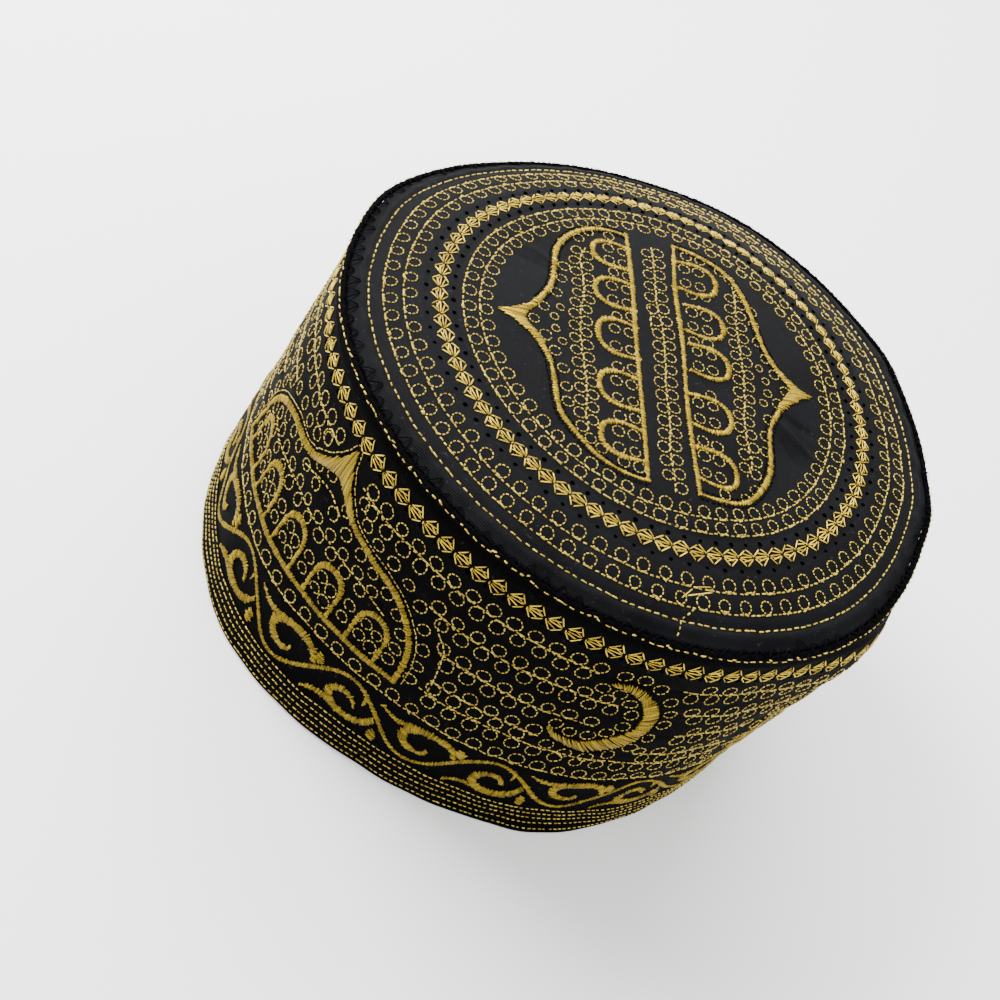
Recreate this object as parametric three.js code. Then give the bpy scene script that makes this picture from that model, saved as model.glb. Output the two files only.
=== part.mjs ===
// A round, flat-topped prayer cap of black cloth, resting on its rim.
// The crown is a shallow dome with a padded margin. A raised seam ridge joins it to a side band,
// and a thick stitched hem closes the band at the bottom.
// Millimetres, +Z up. The floor is z = 0 and the cap is centred on the origin by its outline.
import * as THREE from 'three';

// Driving sizes
const CROWN_RADIUS = 86;
const SEAM_HEIGHT = 90;
const DOME_RISE = 7.3;
const DOME_FLATNESS = 4.5;
const CLOTH = 2.2;
const GAP = 0.35;

// The seam sinks on the far side, where the crown droops.
const SAG = 1;
const SAG_ANGLE = 85;
const SAG_SPREAD = 50;

// Seam ridge
const RIDGE_RADIUS = 1.8;
const RIDGE_PROUD = 0.5;
const RIDGE_SIDES = 8;

// Side band
const BAND_INSET = 0.8;
const BAND_ROWS = 8;

// Hem
const HEM_HEIGHT = 10;
const HEM_PROUD = 0.5;
const HEM_BACK = 0.5;
const HEM_ROUND = 0.8;
const HEM_ROLL = 2.4;

// Meshing
const SEGMENTS = 96;
const CROWN_ROWS = 10;
const CROWN_UNDER_ROWS = 6;
const EDGE_STEPS = 3;
const RING_SHARE = 0.72;

// The soft outline seen from above, every 30 degrees from -180, as shares of the crown radius.
// seam: where crown and band meet. ring: the diamond ring inside it. rim: the bottom edge.
const OUTLINE_STEP = 30;
const OUTLINE = [
  { angle: -180, seam: 0.98, ring: 0.995, rim: 1.06 },
  { angle: -150, seam: 1.0, ring: 1.005, rim: 1.115 },
  { angle: -120, seam: 0.99, ring: 0.99, rim: 1.15 },
  { angle: -90, seam: 0.995, ring: 0.99, rim: 1.075 },
  { angle: -60, seam: 1.01, ring: 1.0, rim: 1.03 },
  { angle: -30, seam: 1.02, ring: 1.01, rim: 0.985 },
  { angle: 0, seam: 1.0, ring: 1.0, rim: 0.965 },
  { angle: 30, seam: 1.01, ring: 1.0, rim: 0.97 },
  { angle: 60, seam: 1.035, ring: 1.015, rim: 0.995 },
  { angle: 90, seam: 1.015, ring: 1.01, rim: 1.03 },
  { angle: 120, seam: 0.935, ring: 0.985, rim: 1.05 },
  { angle: 150, seam: 0.92, ring: 0.965, rim: 1.05 },
];

// Corners that the soft crown is pressed into along its seam. push is a share of the radius.
const CORNERS = [
  { angle: -177, spread: 7, push: 0.008 },
  { angle: 14, spread: 6, push: 0.012 },
  { angle: 53, spread: 7, push: 0.014 },
];

// Soft dents and swells of the crown. share and spread are shares of the crown radius, the
// distance from the middle and the half width. rise is a share of the dome's rise.
const DENTS = [
  { angle: 85, share: 0.55, spread: 0.35, rise: 0.3 },
  { angle: 174, share: 0.52, spread: 0.12, rise: -0.16 },
  { angle: 4, share: 0.54, spread: 0.13, rise: -0.16 },
  { angle: -28, share: 0.5, spread: 0.14, rise: -0.1 },
];

// The hem rolls outward at its lower edge here. hollow is how much less it rolls at half height.
const ROLL = { angle: -57, spread: 13, hollow: 0.75 };

// Slow waves of the side band. share is a height and reach its half height, as shares of the
// seam's height. push is a share of the crown radius, out of the band's surface.
const WAVES = [
  { angle: -108, spread: 14, share: 0.35, reach: 0.3, push: -0.012 },
  { angle: -42, spread: 16, share: 0.55, reach: 0.35, push: 0.009 },
  { angle: -18, spread: 12, share: 0.86, reach: 0.15, push: 0.045 },
  { angle: -18, spread: 12, share: 0.6, reach: 0.25, push: 0.028 },
  { angle: 70, spread: 22, share: 0.5, reach: 0.35, push: -0.016 },
  { angle: 150, spread: 20, share: 0.5, reach: 0.35, push: 0.014 },
];

// Angle between two directions in degrees, between -180 and 180.
function turn(angle, from) {
  return ((angle - from + 540) % 360) - 180;
}

function bell(distance, spread) {
  return Math.exp(-((distance / spread) ** 2));
}

// A smooth closed curve through one column of the outline table.
function outlineAt(column, angle) {
  const place = ((angle + 540) % 360) / OUTLINE_STEP;
  const start = Math.floor(place);
  const t = place - start;
  const row = (k) => OUTLINE[(start + k + OUTLINE.length) % OUTLINE.length][column];
  const [a, b, c, d] = [row(-1), row(0), row(1), row(2)];
  const slope = (c - a) / 2;
  const bend = a - 2.5 * b + 2 * c - d / 2;
  const twist = (d - a) / 2 + 1.5 * (b - c);
  return b + t * (slope + t * (bend + t * twist));
}

function seamRadius(angle) {
  const corner = (sum, c) => sum + c.push * bell(turn(angle, c.angle), c.spread);
  return CROWN_RADIUS * CORNERS.reduce(corner, outlineAt('seam', angle));
}

function seamHeight(angle) {
  return SEAM_HEIGHT - SAG * bell(turn(angle, SAG_ANGLE), SAG_SPREAD);
}

function rimRadius(angle) {
  return CROWN_RADIUS * outlineAt('rim', angle);
}

// Distance from the middle for a share of the crown's radius.
function crownRadius(share, angle) {
  const ring = outlineAt('ring', angle);
  const inner = 1 + (ring - 1) * Math.min(share / RING_SHARE, 1);
  const blend = Math.max((share - RING_SHARE) / (1 - RING_SHARE), 0);
  return share * ((1 - blend) * inner * CROWN_RADIUS + blend * seamRadius(angle));
}

// Height of the crown's upper face.
function crownHeight(share, angle) {
  const x = share * Math.cos(THREE.MathUtils.degToRad(angle));
  const y = share * Math.sin(THREE.MathUtils.degToRad(angle));
  const edge = share ** DOME_FLATNESS;
  let height = SEAM_HEIGHT * (1 - edge) + seamHeight(angle) * edge + DOME_RISE * (1 - edge);
  for (const dent of DENTS) {
    const away = THREE.MathUtils.degToRad(dent.angle);
    const dx = x - dent.share * Math.cos(away);
    const dy = y - dent.share * Math.sin(away);
    height += dent.rise * DOME_RISE * (1 - edge) * bell(Math.hypot(dx, dy), dent.spread);
  }
  return height;
}

// Distance from the middle of the band's outer face. share is 0 at the floor and 1 at the seam.
function bandRadius(share, angle) {
  const straight = (seamRadius(angle) - BAND_INSET) * share + rimRadius(angle) * (1 - share);
  const wave = (sum, w) =>
    sum + w.push * bell(turn(angle, w.angle), w.spread) * bell(share - w.share, w.reach);
  return straight + CROWN_RADIUS * WAVES.reduce(wave, 0);
}

function pointAt(angle, radius, height) {
  const around = THREE.MathUtils.degToRad(angle);
  return [radius * Math.cos(around), radius * Math.sin(around), height];
}

function angles() {
  return Array.from({ length: SEGMENTS }, (_, i) => -180 + (360 * i) / SEGMENTS);
}

function toGeometry(points, faces) {
  const geometry = new THREE.BufferGeometry();
  geometry.setAttribute('position', new THREE.Float32BufferAttribute(points.flat(), 3));
  geometry.setIndex(faces.flat());
  geometry.computeVertexNormals();
  return geometry;
}

// A closed solid that runs round the cap. profile(angle) gives its section as [radius, height]
// pairs, counter-clockwise with the radius to the right.
function ringSolid(profile) {
  const sections = angles().map((angle) => profile(angle).map(([r, z]) => pointAt(angle, r, z)));
  const count = sections[0].length;
  const faces = [];
  for (let i = 0; i < SEGMENTS; i += 1) {
    const here = i * count;
    const next = ((i + 1) % SEGMENTS) * count;
    for (let j = 0; j < count; j += 1) {
      const up = (j + 1) % count;
      faces.push([here + j, next + j, next + up], [here + j, next + up, here + up]);
    }
  }
  return toGeometry(sections.flat(), faces);
}

// A closed solid round the axis whose section starts at the middle of its underside and ends at
// the middle of its upper side.
function discSolid(profile, bottom, top) {
  const sections = angles().map((angle) => profile(angle).map(([r, z]) => pointAt(angle, r, z)));
  const count = sections[0].length;
  const points = sections.flat();
  const low = points.push([0, 0, bottom]) - 1;
  const high = points.push([0, 0, top]) - 1;
  const faces = [];
  for (let i = 0; i < SEGMENTS; i += 1) {
    const here = i * count;
    const next = ((i + 1) % SEGMENTS) * count;
    faces.push([low, next, here], [high, here + count - 1, next + count - 1]);
    for (let j = 0; j < count - 1; j += 1) {
      faces.push([here + j, next + j, next + j + 1], [here + j, next + j + 1, here + j + 1]);
    }
  }
  return toGeometry(points, faces);
}

// Round corner between two directions of a section, as [radius, height] pairs.
function roundCorner(r, z, size, startDegrees) {
  return Array.from({ length: EDGE_STEPS }, (_, i) => {
    const a = THREE.MathUtils.degToRad(startDegrees + (90 * i) / (EDGE_STEPS - 1));
    return [r + size * Math.cos(a), z + size * Math.sin(a)];
  });
}

// Crown: a dome of cloth whose edge stops just inside the seam ridge
function crownProfile(angle) {
  const edge = seamRadius(angle) + RIDGE_PROUD - 2 * RIDGE_RADIUS - GAP;
  const edgeShare = (edge - CLOTH / 2) / seamRadius(angle);
  const row = (share, drop) => [crownRadius(share, angle), crownHeight(share, angle) - drop];
  const under = Array.from({ length: CROWN_UNDER_ROWS }, (_, i) =>
    row((edgeShare * (i + 1)) / CROWN_UNDER_ROWS, CLOTH));
  const upper = Array.from({ length: CROWN_ROWS }, (_, i) =>
    row(edgeShare * Math.sqrt(1 - i / CROWN_ROWS), 0));
  const middle = crownHeight(edgeShare, angle) - CLOTH / 2;
  return [...under, [edge, middle], ...upper];
}

function crownDisc() {
  const middle = crownHeight(0, 0);
  return discSolid(crownProfile, middle - CLOTH, middle);
}

// Seam ridge: a round cord of folded cloth between crown and band
function ridgeProfile(angle) {
  const centre = seamRadius(angle) + RIDGE_PROUD - RIDGE_RADIUS;
  return Array.from({ length: RIDGE_SIDES }, (_, i) => {
    const a = (2 * Math.PI * (i + 0.5)) / RIDGE_SIDES;
    return [centre + RIDGE_RADIUS * Math.cos(a), seamHeight(angle) + RIDGE_RADIUS * Math.sin(a)];
  });
}

// Side band: the wall from just above the hem to just below the ridge
function bandProfile(angle) {
  const bottom = HEM_HEIGHT + GAP;
  const top = seamHeight(angle) - RIDGE_RADIUS - GAP;
  const outer = Array.from({ length: BAND_ROWS + 1 }, (_, i) => {
    const height = bottom + ((top - bottom) * i) / BAND_ROWS;
    return [bandRadius(height / seamHeight(angle), angle), height];
  });
  const inner = outer.map(([r, z]) => [r - CLOTH, z]).reverse();
  return [...outer, ...inner];
}

// Hem: the folded bottom edge, with a flat underside to rest on
function hemProfile(angle) {
  const top = HEM_HEIGHT;
  const roll = HEM_ROLL * bell(turn(angle, ROLL.angle), ROLL.spread);
  const topShare = top / seamHeight(angle);
  const outerTop = bandRadius(topShare, angle) + HEM_PROUD;
  const outerLow = bandRadius(0, angle) + HEM_PROUD + roll;
  const innerTop = bandRadius(topShare, angle) - CLOTH - HEM_BACK;
  const innerLow = bandRadius(0, angle) - CLOTH - HEM_BACK;
  const soft = HEM_ROUND;
  return [
    ...roundCorner(outerLow - soft, soft, soft, -90),
    [(outerLow - roll * ROLL.hollow + outerTop) / 2, top / 2],
    ...roundCorner(outerTop - soft, top - soft, soft, 0),
    ...roundCorner(innerTop + soft, top - soft, soft, 90),
    [(innerLow + innerTop) / 2, top / 2],
    ...roundCorner(innerLow + soft, soft, soft, 180),
  ];
}

// Black cloth of the crown has a soft sheen. The band's cloth is a little darker.
const CROWN_CLOTH = { color: 0x24262c, roughness: 0.6, metalness: 0.0 };
const BAND_CLOTH = { color: 0x101117, roughness: 0.75, metalness: 0.0 };

function piece(name, geometry, finish) {
  const mesh = new THREE.Mesh(geometry, new THREE.MeshStandardMaterial(finish));
  mesh.name = name;
  return mesh;
}

const cap = new THREE.Group();
cap.add(
  piece('crown_disc', crownDisc(), CROWN_CLOTH),
  piece('crown_seam', ringSolid(ridgeProfile), BAND_CLOTH),
  piece('side_band', ringSolid(bandProfile), BAND_CLOTH),
  piece('rim_hem', ringSolid(hemProfile), BAND_CLOTH),
);

// Centre the soft outline on the origin.
const middle = new THREE.Box3().setFromObject(cap).getCenter(new THREE.Vector3());
cap.position.set(-middle.x, -middle.y, 0);
cap.updateMatrixWorld(true);

export default cap;
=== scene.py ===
"""Round, flat-topped prayer cap of black cloth with gold thread embroidery.

Four cloth shells stand for the crown, the seam ridge, the side band and the rim hem. Every stitch
on them is a short closed piece of thread, and the stitches of one motif are joined as one mesh.
Lengths are millimetres until a mesh is made, where they become metres. Angles are degrees about
the cap's own upright axis, and -90 faces the camera.
"""

import logging
from dataclasses import dataclass, field
from enum import Enum
from typing import Callable, Optional, Sequence

import bpy
import numpy as np
from mathutils import Matrix, Vector


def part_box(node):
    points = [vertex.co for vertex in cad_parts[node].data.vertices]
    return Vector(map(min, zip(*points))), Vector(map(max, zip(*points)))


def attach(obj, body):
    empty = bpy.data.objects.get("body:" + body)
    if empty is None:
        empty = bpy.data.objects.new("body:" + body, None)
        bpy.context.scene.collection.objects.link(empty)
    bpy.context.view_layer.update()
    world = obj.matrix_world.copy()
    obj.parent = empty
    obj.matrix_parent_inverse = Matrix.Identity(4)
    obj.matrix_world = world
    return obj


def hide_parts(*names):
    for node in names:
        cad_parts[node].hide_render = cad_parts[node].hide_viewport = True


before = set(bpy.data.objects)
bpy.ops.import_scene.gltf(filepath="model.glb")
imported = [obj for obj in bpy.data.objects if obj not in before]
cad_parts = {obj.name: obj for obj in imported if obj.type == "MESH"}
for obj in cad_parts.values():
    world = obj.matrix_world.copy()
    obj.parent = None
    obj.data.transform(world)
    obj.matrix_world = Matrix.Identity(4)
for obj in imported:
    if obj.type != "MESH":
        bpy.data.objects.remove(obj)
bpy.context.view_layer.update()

LOG = logging.getLogger("prayer_cap")
MM = 0.001

# The soft outline seen from above, every 30 degrees from -180, as shares of the crown radius.
OUTLINE_STEP = 30.0
SEAM_SHARE = np.array([0.98, 1.0, 0.99, 0.995, 1.01, 1.02, 1.0, 1.01, 1.035, 1.015, 0.935, 0.92])
RING_SHARE = np.array([0.995, 1.005, 0.99, 0.99, 1.0, 1.01, 1.0, 1.0, 1.015, 1.01, 0.985, 0.965])
RIM_SHARE = np.array([1.06, 1.115, 1.15, 1.075, 1.03, 0.985, 0.965, 0.97, 0.995, 1.03, 1.05, 1.05])


def turn(angle: np.ndarray, start: float) -> np.ndarray:
    """Angle from start to angle, between -180 and 180 degrees."""
    return (angle - start + 540.0) % 360.0 - 180.0


def bell(distance: np.ndarray, spread: float) -> np.ndarray:
    """One at no distance, falling as exp(-(distance / spread) squared)."""
    return np.exp(-((distance / spread) ** 2))


def ease(value: np.ndarray) -> np.ndarray:
    """Smooth step from 0 to 1: 3 t squared minus 2 t cubed, with t held between 0 and 1."""
    t = np.clip(value, 0.0, 1.0)
    return t * t * (3.0 - 2.0 * t)


def through(
    a: np.ndarray, b: np.ndarray, c: np.ndarray, d: np.ndarray, t: np.ndarray
) -> np.ndarray:
    """Catmull-Rom cubic between b at t 0 and c at t 1, with a before them and d after."""
    slope = (c - a) / 2.0
    bend = a - 2.5 * b + 2.0 * c - d / 2.0
    twist = (d - a) / 2.0 + 1.5 * (b - c)
    return b + t * (slope + t * (bend + t * twist))


def outline_at(column: np.ndarray, angle: np.ndarray) -> np.ndarray:
    """Smooth closed curve through one outline column.

    It is the Catmull-Rom cubic of the four table rows round each angle.

    Args:
        column: Shares of the crown radius, one row each 30 degrees.
        angle: Angles in degrees.

    Returns:
        The share at each angle.
    """
    place = ((angle + 540.0) % 360.0) / OUTLINE_STEP
    start = np.floor(place).astype(int)
    t = place - start
    a, b, c, d = (column[(start + k) % len(column)] for k in (-1, 0, 1, 2))
    return through(a, b, c, d, t)


def smooth(points: Sequence[Sequence[float]], steps: int = 14) -> np.ndarray:
    """Smooth open curve through table rows, by the Catmull-Rom cubic with mirrored ends.

    Args:
        points: Rows of any number of columns.
        steps: Parts that each span is cut into.

    Returns:
        Rows along the curve, both ends among them.
    """
    rows = np.asarray(points, float)
    padded = np.vstack([2 * rows[0] - rows[1], rows, 2 * rows[-1] - rows[-2]])
    place = np.linspace(0.0, len(rows) - 1.0, (len(rows) - 1) * steps + 1)
    start = np.minimum(place.astype(int), len(rows) - 2)
    t = (place - start)[:, None]
    a, b, c, d = (padded[start + k] for k in (0, 1, 2, 3))
    return through(a, b, c, d, t)


def unit(vectors: np.ndarray) -> np.ndarray:
    """Vectors scaled to length one."""
    return vectors / np.maximum(np.linalg.norm(vectors, axis=-1, keepdims=True), 1e-9)


@dataclass(frozen=True)
class Thread:
    """Sizes of the embroidery's threads and rings, in millimetres."""

    fine: float = 0.4
    thin: float = 0.35
    strand: float = 0.42
    crown_ring: float = 1.7
    side_ring: float = 1.95


THREAD = Thread()


@dataclass(frozen=True)
class Running:
    """A running stitch: pitch, length and thread width, and how far it strays and stands up."""

    pitch: float
    length: float
    width: float = THREAD.fine
    wander: float = 0.06
    rise: float = 0.16


@dataclass(frozen=True)
class Satin:
    """Satin strands, whose ends lean along the path, stray, and slant the other way in turns."""

    pitch: float = 0.43
    width: float = THREAD.strand
    lean: float = 0.0
    rise: float = 0.2
    ragged: float = 0.16
    zigzag: float = 0.36


EDGING = Running(1.5, 1.3, wander=0.05)
GUIDE = Running(1.55, 1.3, 0.44, 0.1)
ECHO = Running(1.3, 1.1, 0.3)
SIDE_SATIN = Satin(lean=0.1, zigzag=0.15)


@dataclass(frozen=True)
class CapForm:
    """The cap's outer shape as functions of an angle and a share, as in the part's source."""

    crown_radius: float = 86.0
    seam_height: float = 90.0
    dome_rise: float = 7.3
    dome_flatness: float = 4.5
    cloth: float = 2.2
    sag: float = 1.0
    sag_angle: float = 85.0
    sag_spread: float = 50.0
    ring_share: float = 0.72
    band_inset: float = 0.8
    hem_height: float = 10.0
    hem_proud: float = 0.5
    hem_roll: float = 2.4
    roll_angle: float = -57.0
    roll_spread: float = 13.0
    hem_segments: int = 96
    # Angle, spread in degrees and push as a share of the crown radius.
    corners: tuple = ((-177.0, 7.0, 0.008), (14.0, 6.0, 0.012), (53.0, 7.0, 0.014))
    # Angle, share from the middle, spread and rise as a share of the dome's.
    dents: tuple = (
        (85.0, 0.55, 0.35, 0.3),
        (174.0, 0.52, 0.12, -0.16),
        (4.0, 0.54, 0.13, -0.16),
        (-28.0, 0.5, 0.14, -0.1),
    )
    # Angle, spread in degrees, height share, reach up and down, and push as a share of the radius.
    waves: tuple = (
        (-108.0, 14.0, 0.35, 0.3, -0.012),
        (-42.0, 16.0, 0.55, 0.35, 0.009),
        (-18.0, 12.0, 0.86, 0.15, 0.045),
        (-18.0, 12.0, 0.6, 0.25, 0.028),
        (70.0, 22.0, 0.5, 0.35, -0.016),
        (150.0, 20.0, 0.5, 0.35, 0.014),
    )

    def seam_radius(self, angle: np.ndarray) -> np.ndarray:
        """Distance of the seam from the axis: the outline's share plus the pressed corners."""
        push = sum(size * bell(turn(angle, at), spread) for at, spread, size in self.corners)
        return self.crown_radius * (outline_at(SEAM_SHARE, angle) + push)

    def seam_level(self, angle: np.ndarray) -> np.ndarray:
        """Height of the seam, which sinks on the far side."""
        return self.seam_height - self.sag * bell(turn(angle, self.sag_angle), self.sag_spread)

    def crown_radius_at(self, share: np.ndarray, angle: np.ndarray) -> np.ndarray:
        """Distance from the axis: the inner outline blends into the seam's past the ring share.

        Args:
            share: Share of the way from the middle to the seam.
            angle: Angles in degrees.

        Returns:
            Distances in millimetres.
        """
        ring = self.ring_share
        inner = 1.0 + (outline_at(RING_SHARE, angle) - 1.0) * np.minimum(share / ring, 1.0)
        blend = np.maximum((share - ring) / (1.0 - ring), 0.0)
        return share * ((1.0 - blend) * inner * self.crown_radius + blend * self.seam_radius(angle))

    def crown_height(self, share: np.ndarray, angle: np.ndarray) -> np.ndarray:
        """Height of the dome: level in the middle, falling to the seam as share to the 4.5.

        Args:
            share: Share of the way from the middle to the seam.
            angle: Angles in degrees.

        Returns:
            Heights in millimetres, dents among them.
        """
        x = share * np.cos(np.radians(angle))
        y = share * np.sin(np.radians(angle))
        edge = share**self.dome_flatness
        height = self.seam_height * (1 - edge) + self.seam_level(angle) * edge
        height = height + self.dome_rise * (1 - edge)
        for at, away, spread, rise in self.dents:
            dx = x - away * np.cos(np.radians(at))
            dy = y - away * np.sin(np.radians(at))
            height = height + rise * self.dome_rise * (1 - edge) * bell(np.hypot(dx, dy), spread)
        return height

    def band_radius(self, share: np.ndarray, angle: np.ndarray) -> np.ndarray:
        """Distance of the band's face from the axis: a straight wall with slow waves.

        Args:
            share: Height as a share of the seam's.
            angle: Angles in degrees.

        Returns:
            Distances in millimetres.
        """
        top = self.seam_radius(angle) - self.band_inset
        rim = self.crown_radius * outline_at(RIM_SHARE, angle)
        straight = top * share + rim * (1.0 - share)
        wave = sum(
            push * bell(turn(angle, at), spread) * bell(share - level, reach)
            for at, spread, level, reach, push in self.waves
        )
        return straight + self.crown_radius * wave

    def roll(self, share: np.ndarray, angle: np.ndarray) -> np.ndarray:
        """How far the hem rolls outward, as the cube of the depth below its top."""
        depth = np.clip(1.0 - share * self.seam_level(angle) / self.hem_height, 0.0, 1.0)
        return self.hem_roll * bell(turn(angle, self.roll_angle), self.roll_spread) * depth**3

    def hem_outline(self) -> np.ndarray:
        """Outer points of the hem's underside edge, one for each segment of its solid."""
        angle = -180.0 + 360.0 * np.arange(self.hem_segments) / self.hem_segments
        share = np.zeros(self.hem_segments)
        out = self.band_radius(share, angle) + self.hem_proud + self.roll(share, angle)
        return np.column_stack([out * np.cos(np.radians(angle)), out * np.sin(np.radians(angle))])

    def shift(self) -> np.ndarray:
        """Move from the cap's own axis to the frame, from where the frame's hem lies."""
        low, high = (np.array(corner)[:2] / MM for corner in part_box("rim_hem"))
        own = self.hem_outline()
        middle = (own.min(axis=0) + own.max(axis=0)) / 2.0
        return np.append((low + high) / 2.0 - middle, 0.0)


FORM = CapForm()
SHIFT = FORM.shift()


def polar(radius: np.ndarray, angle: np.ndarray, height: np.ndarray) -> np.ndarray:
    """Points from distance, angle and height, moved to the frame.

    Args:
        radius: Distances from the cap's axis.
        angle: Angles in degrees.
        height: Heights above the floor.

    Returns:
        Points in millimetres, the last axis of three.
    """
    around = np.radians(angle)
    rows = np.broadcast_arrays(radius * np.cos(around), radius * np.sin(around), height)
    return np.stack(rows, axis=-1) + SHIFT


class Chart:
    """A flat map of one cloth surface, on which motifs are drawn."""

    step = np.array([1e-3, 1e-3])

    def surface(self, spots: np.ndarray) -> np.ndarray:
        """Points of the cloth in millimetres for chart places."""
        raise NotImplementedError

    def frame_at(self, spots: np.ndarray) -> tuple[np.ndarray, np.ndarray, np.ndarray]:
        """Points, upward normals and millimetres per chart unit, from central differences.

        Args:
            spots: Chart places, the last axis of two.

        Returns:
            Points, unit normals and the lengths of the two chart directions.
        """
        across = np.array([self.step[0], 0.0])
        along = np.array([0.0, self.step[1]])
        right = (self.surface(spots + across) - self.surface(spots - across)) / (2 * self.step[0])
        up = (self.surface(spots + along) - self.surface(spots - along)) / (2 * self.step[1])
        size = np.stack([np.linalg.norm(right, axis=-1), np.linalg.norm(up, axis=-1)], axis=-1)
        return self.surface(spots), unit(np.cross(right, up)), size


class CrownChart(Chart):
    """The crown seen from above: x and y as shares of its radius."""

    # Radius share and spread of the puffed margin, and its rise in millimetres.
    margin: tuple = (0.945, 0.013, 0.5)
    # Radius share, spread and depth in millimetres.
    rings: tuple = (
        (0.922, 0.010, 0.34),
        (0.881, 0.009, 0.24),
        (0.823, 0.009, 0.24),
        (0.752, 0.007, 0.28),
        (0.666, 0.007, 0.28),
        (0.648, 0.008, 0.16),
        (0.597, 0.009, 0.2),
    )
    # Waves round the crown, radius share, spread, depth in millimetres and phase.
    ripples: tuple = (
        (41.0, 0.945, 0.028, 0.16, 0.4),
        (67.0, 0.945, 0.022, 0.12, 2.1),
        (23.0, 0.85, 0.05, 0.1, 1.2),
        (31.0, 0.71, 0.05, 0.07, 4.4),
        (9.0, 0.55, 0.14, 0.14, 5.1),
        (5.0, 0.4, 0.2, 0.16, 2.9),
    )
    # x and y, way in degrees, length and width as shares, and rise in millimetres.
    folds: tuple = (
        (-0.5, 0.075, -2.0, 0.08, 0.016, 0.7),
        (-0.5, 0.02, 12.0, 0.06, 0.014, -0.5),
        (0.478, 0.055, -12.5, 0.09, 0.016, 0.9),
        (0.5, -0.01, -28.0, 0.07, 0.013, -0.7),
        (0.47, 0.12, 5.0, 0.06, 0.014, -0.6),
        (0.1, -0.6, -20.0, 0.1, 0.02, 0.3),
        (-0.3, 0.58, 30.0, 0.1, 0.02, 0.3),
    )

    def relief(self, share: np.ndarray, angle: np.ndarray) -> np.ndarray:
        """Small swells and draws: dips at stitched rings, a puffed margin, ripples and folds.

        Each is a bell across its line, and a ripple is also a sine round the crown.

        Args:
            share: Share of the way from the middle to the seam.
            angle: Angles in degrees.

        Returns:
            Heights to add, in millimetres.
        """
        margin, margin_spread, margin_rise = self.margin
        height = margin_rise * bell(share - margin, margin_spread)
        for level, spread, depth in self.rings:
            height = height - depth * bell(share - level, spread)
        for count, level, spread, depth, phase in self.ripples:
            swing = np.sin(count * np.radians(angle) + phase + 1.5 * np.sin(2 * np.radians(angle)))
            height = height + depth * bell(share - level, spread) * swing
        x = share * np.cos(np.radians(angle))
        y = share * np.sin(np.radians(angle))
        for at_x, at_y, way, length, width, rise in self.folds:
            c, s = np.cos(np.radians(way)), np.sin(np.radians(way))
            along = (x - at_x) * c + (y - at_y) * s
            across = (y - at_y) * c - (x - at_x) * s
            height = height + rise * bell(along, length) * bell(across, width)
        return height

    def polar_surface(self, share: np.ndarray, angle: np.ndarray) -> np.ndarray:
        """Points of the crown's face for a share of the radius and an angle."""
        height = FORM.crown_height(share, angle) + self.relief(share, angle)
        return polar(FORM.crown_radius_at(share, angle), angle, height)

    def surface(self, spots: np.ndarray) -> np.ndarray:
        """Points of the crown's face for x and y shares."""
        share = np.hypot(spots[..., 0], spots[..., 1])
        return self.polar_surface(share, np.degrees(np.arctan2(spots[..., 1], spots[..., 0])))


class BandChart(Chart):
    """The side unrolled: an angle in degrees, and a height as a share of the seam's."""

    rows: tuple = (0.811, 0.697, 0.582, 0.472, 0.417, 0.308)
    seams: tuple = (0.106, 0.083, 0.06, 0.037, 0.014)
    # Waves round the cap, turns of rise from floor to seam, depth in millimetres and phase.
    ripples: tuple = (
        (17.0, 3.1, 0.12, 0.3),
        (29.0, -5.3, 0.08, 1.9),
        (43.0, 2.2, 0.06, 3.7),
        (7.0, 6.0, 0.1, 5.2),
    )
    hump_angle: float = -87.0
    hump_rise: float = 0.007
    step = np.array([0.05, 1e-3])

    def lift(self, angle: np.ndarray, level: np.ndarray) -> np.ndarray:
        """How much higher the lower rows run near the middle of the seen side.

        Args:
            angle: Angles in degrees.
            level: Chart levels.

        Returns:
            Height shares to add: a bell, steeper to the left, below level 0.52.
        """
        away = turn(angle, self.hump_angle)
        hump = np.where(away < 0, bell(away, 23.0), bell(away, 40.0))
        return self.hump_rise * hump * np.clip((0.52 - level) / 0.2, 0.0, 1.0)

    def drawn(self, level: np.ndarray, angle: np.ndarray) -> np.ndarray:
        """Draws of the cloth at its stitched rows and below the seam, and slow ripples.

        Args:
            level: Chart levels.
            angle: Angles in degrees.

        Returns:
            Distances to add outward, in millimetres.
        """
        height = -0.7 * ease((level - 0.955) / 0.02)
        for row in self.rows:
            height = height - 0.3 * bell(level - row, 0.009)
        for count, rise, depth, phase in self.ripples:
            swing = np.sin(count * np.radians(angle) + 2 * np.pi * rise * level + phase)
            height = height + depth * swing * ease((0.97 - level) / 0.1)
        return height

    def hem_drawn(self, level: np.ndarray) -> np.ndarray:
        """Draws of the hem at its rows of stitches."""
        return -sum(0.22 * bell(level - row, 0.006) for row in self.seams)

    def radius(self, share: np.ndarray, angle: np.ndarray) -> np.ndarray:
        """Distance of the dressed side from the axis, at a true height share.

        The band's wall, plus the hem's thickness below its edge, its roll and the draws.

        Args:
            share: Height as a share of the seam's.
            angle: Angles in degrees.

        Returns:
            Distances in millimetres.
        """
        level = share.copy()
        for _ in range(2):
            level = share - self.lift(angle, level)
        thick = FORM.hem_proud * ease((0.118 - level) / 0.012)
        wall = FORM.band_radius(share, angle) + thick + FORM.roll(share, angle)
        return wall + self.drawn(level, angle) + self.hem_drawn(level)

    def surface(self, spots: np.ndarray) -> np.ndarray:
        """Points of the side for an angle and a chart level."""
        angle = spots[..., 0]
        share = spots[..., 1] + self.lift(angle, spots[..., 1])
        return polar(self.radius(share, angle), angle, share * FORM.seam_level(angle))


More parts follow.
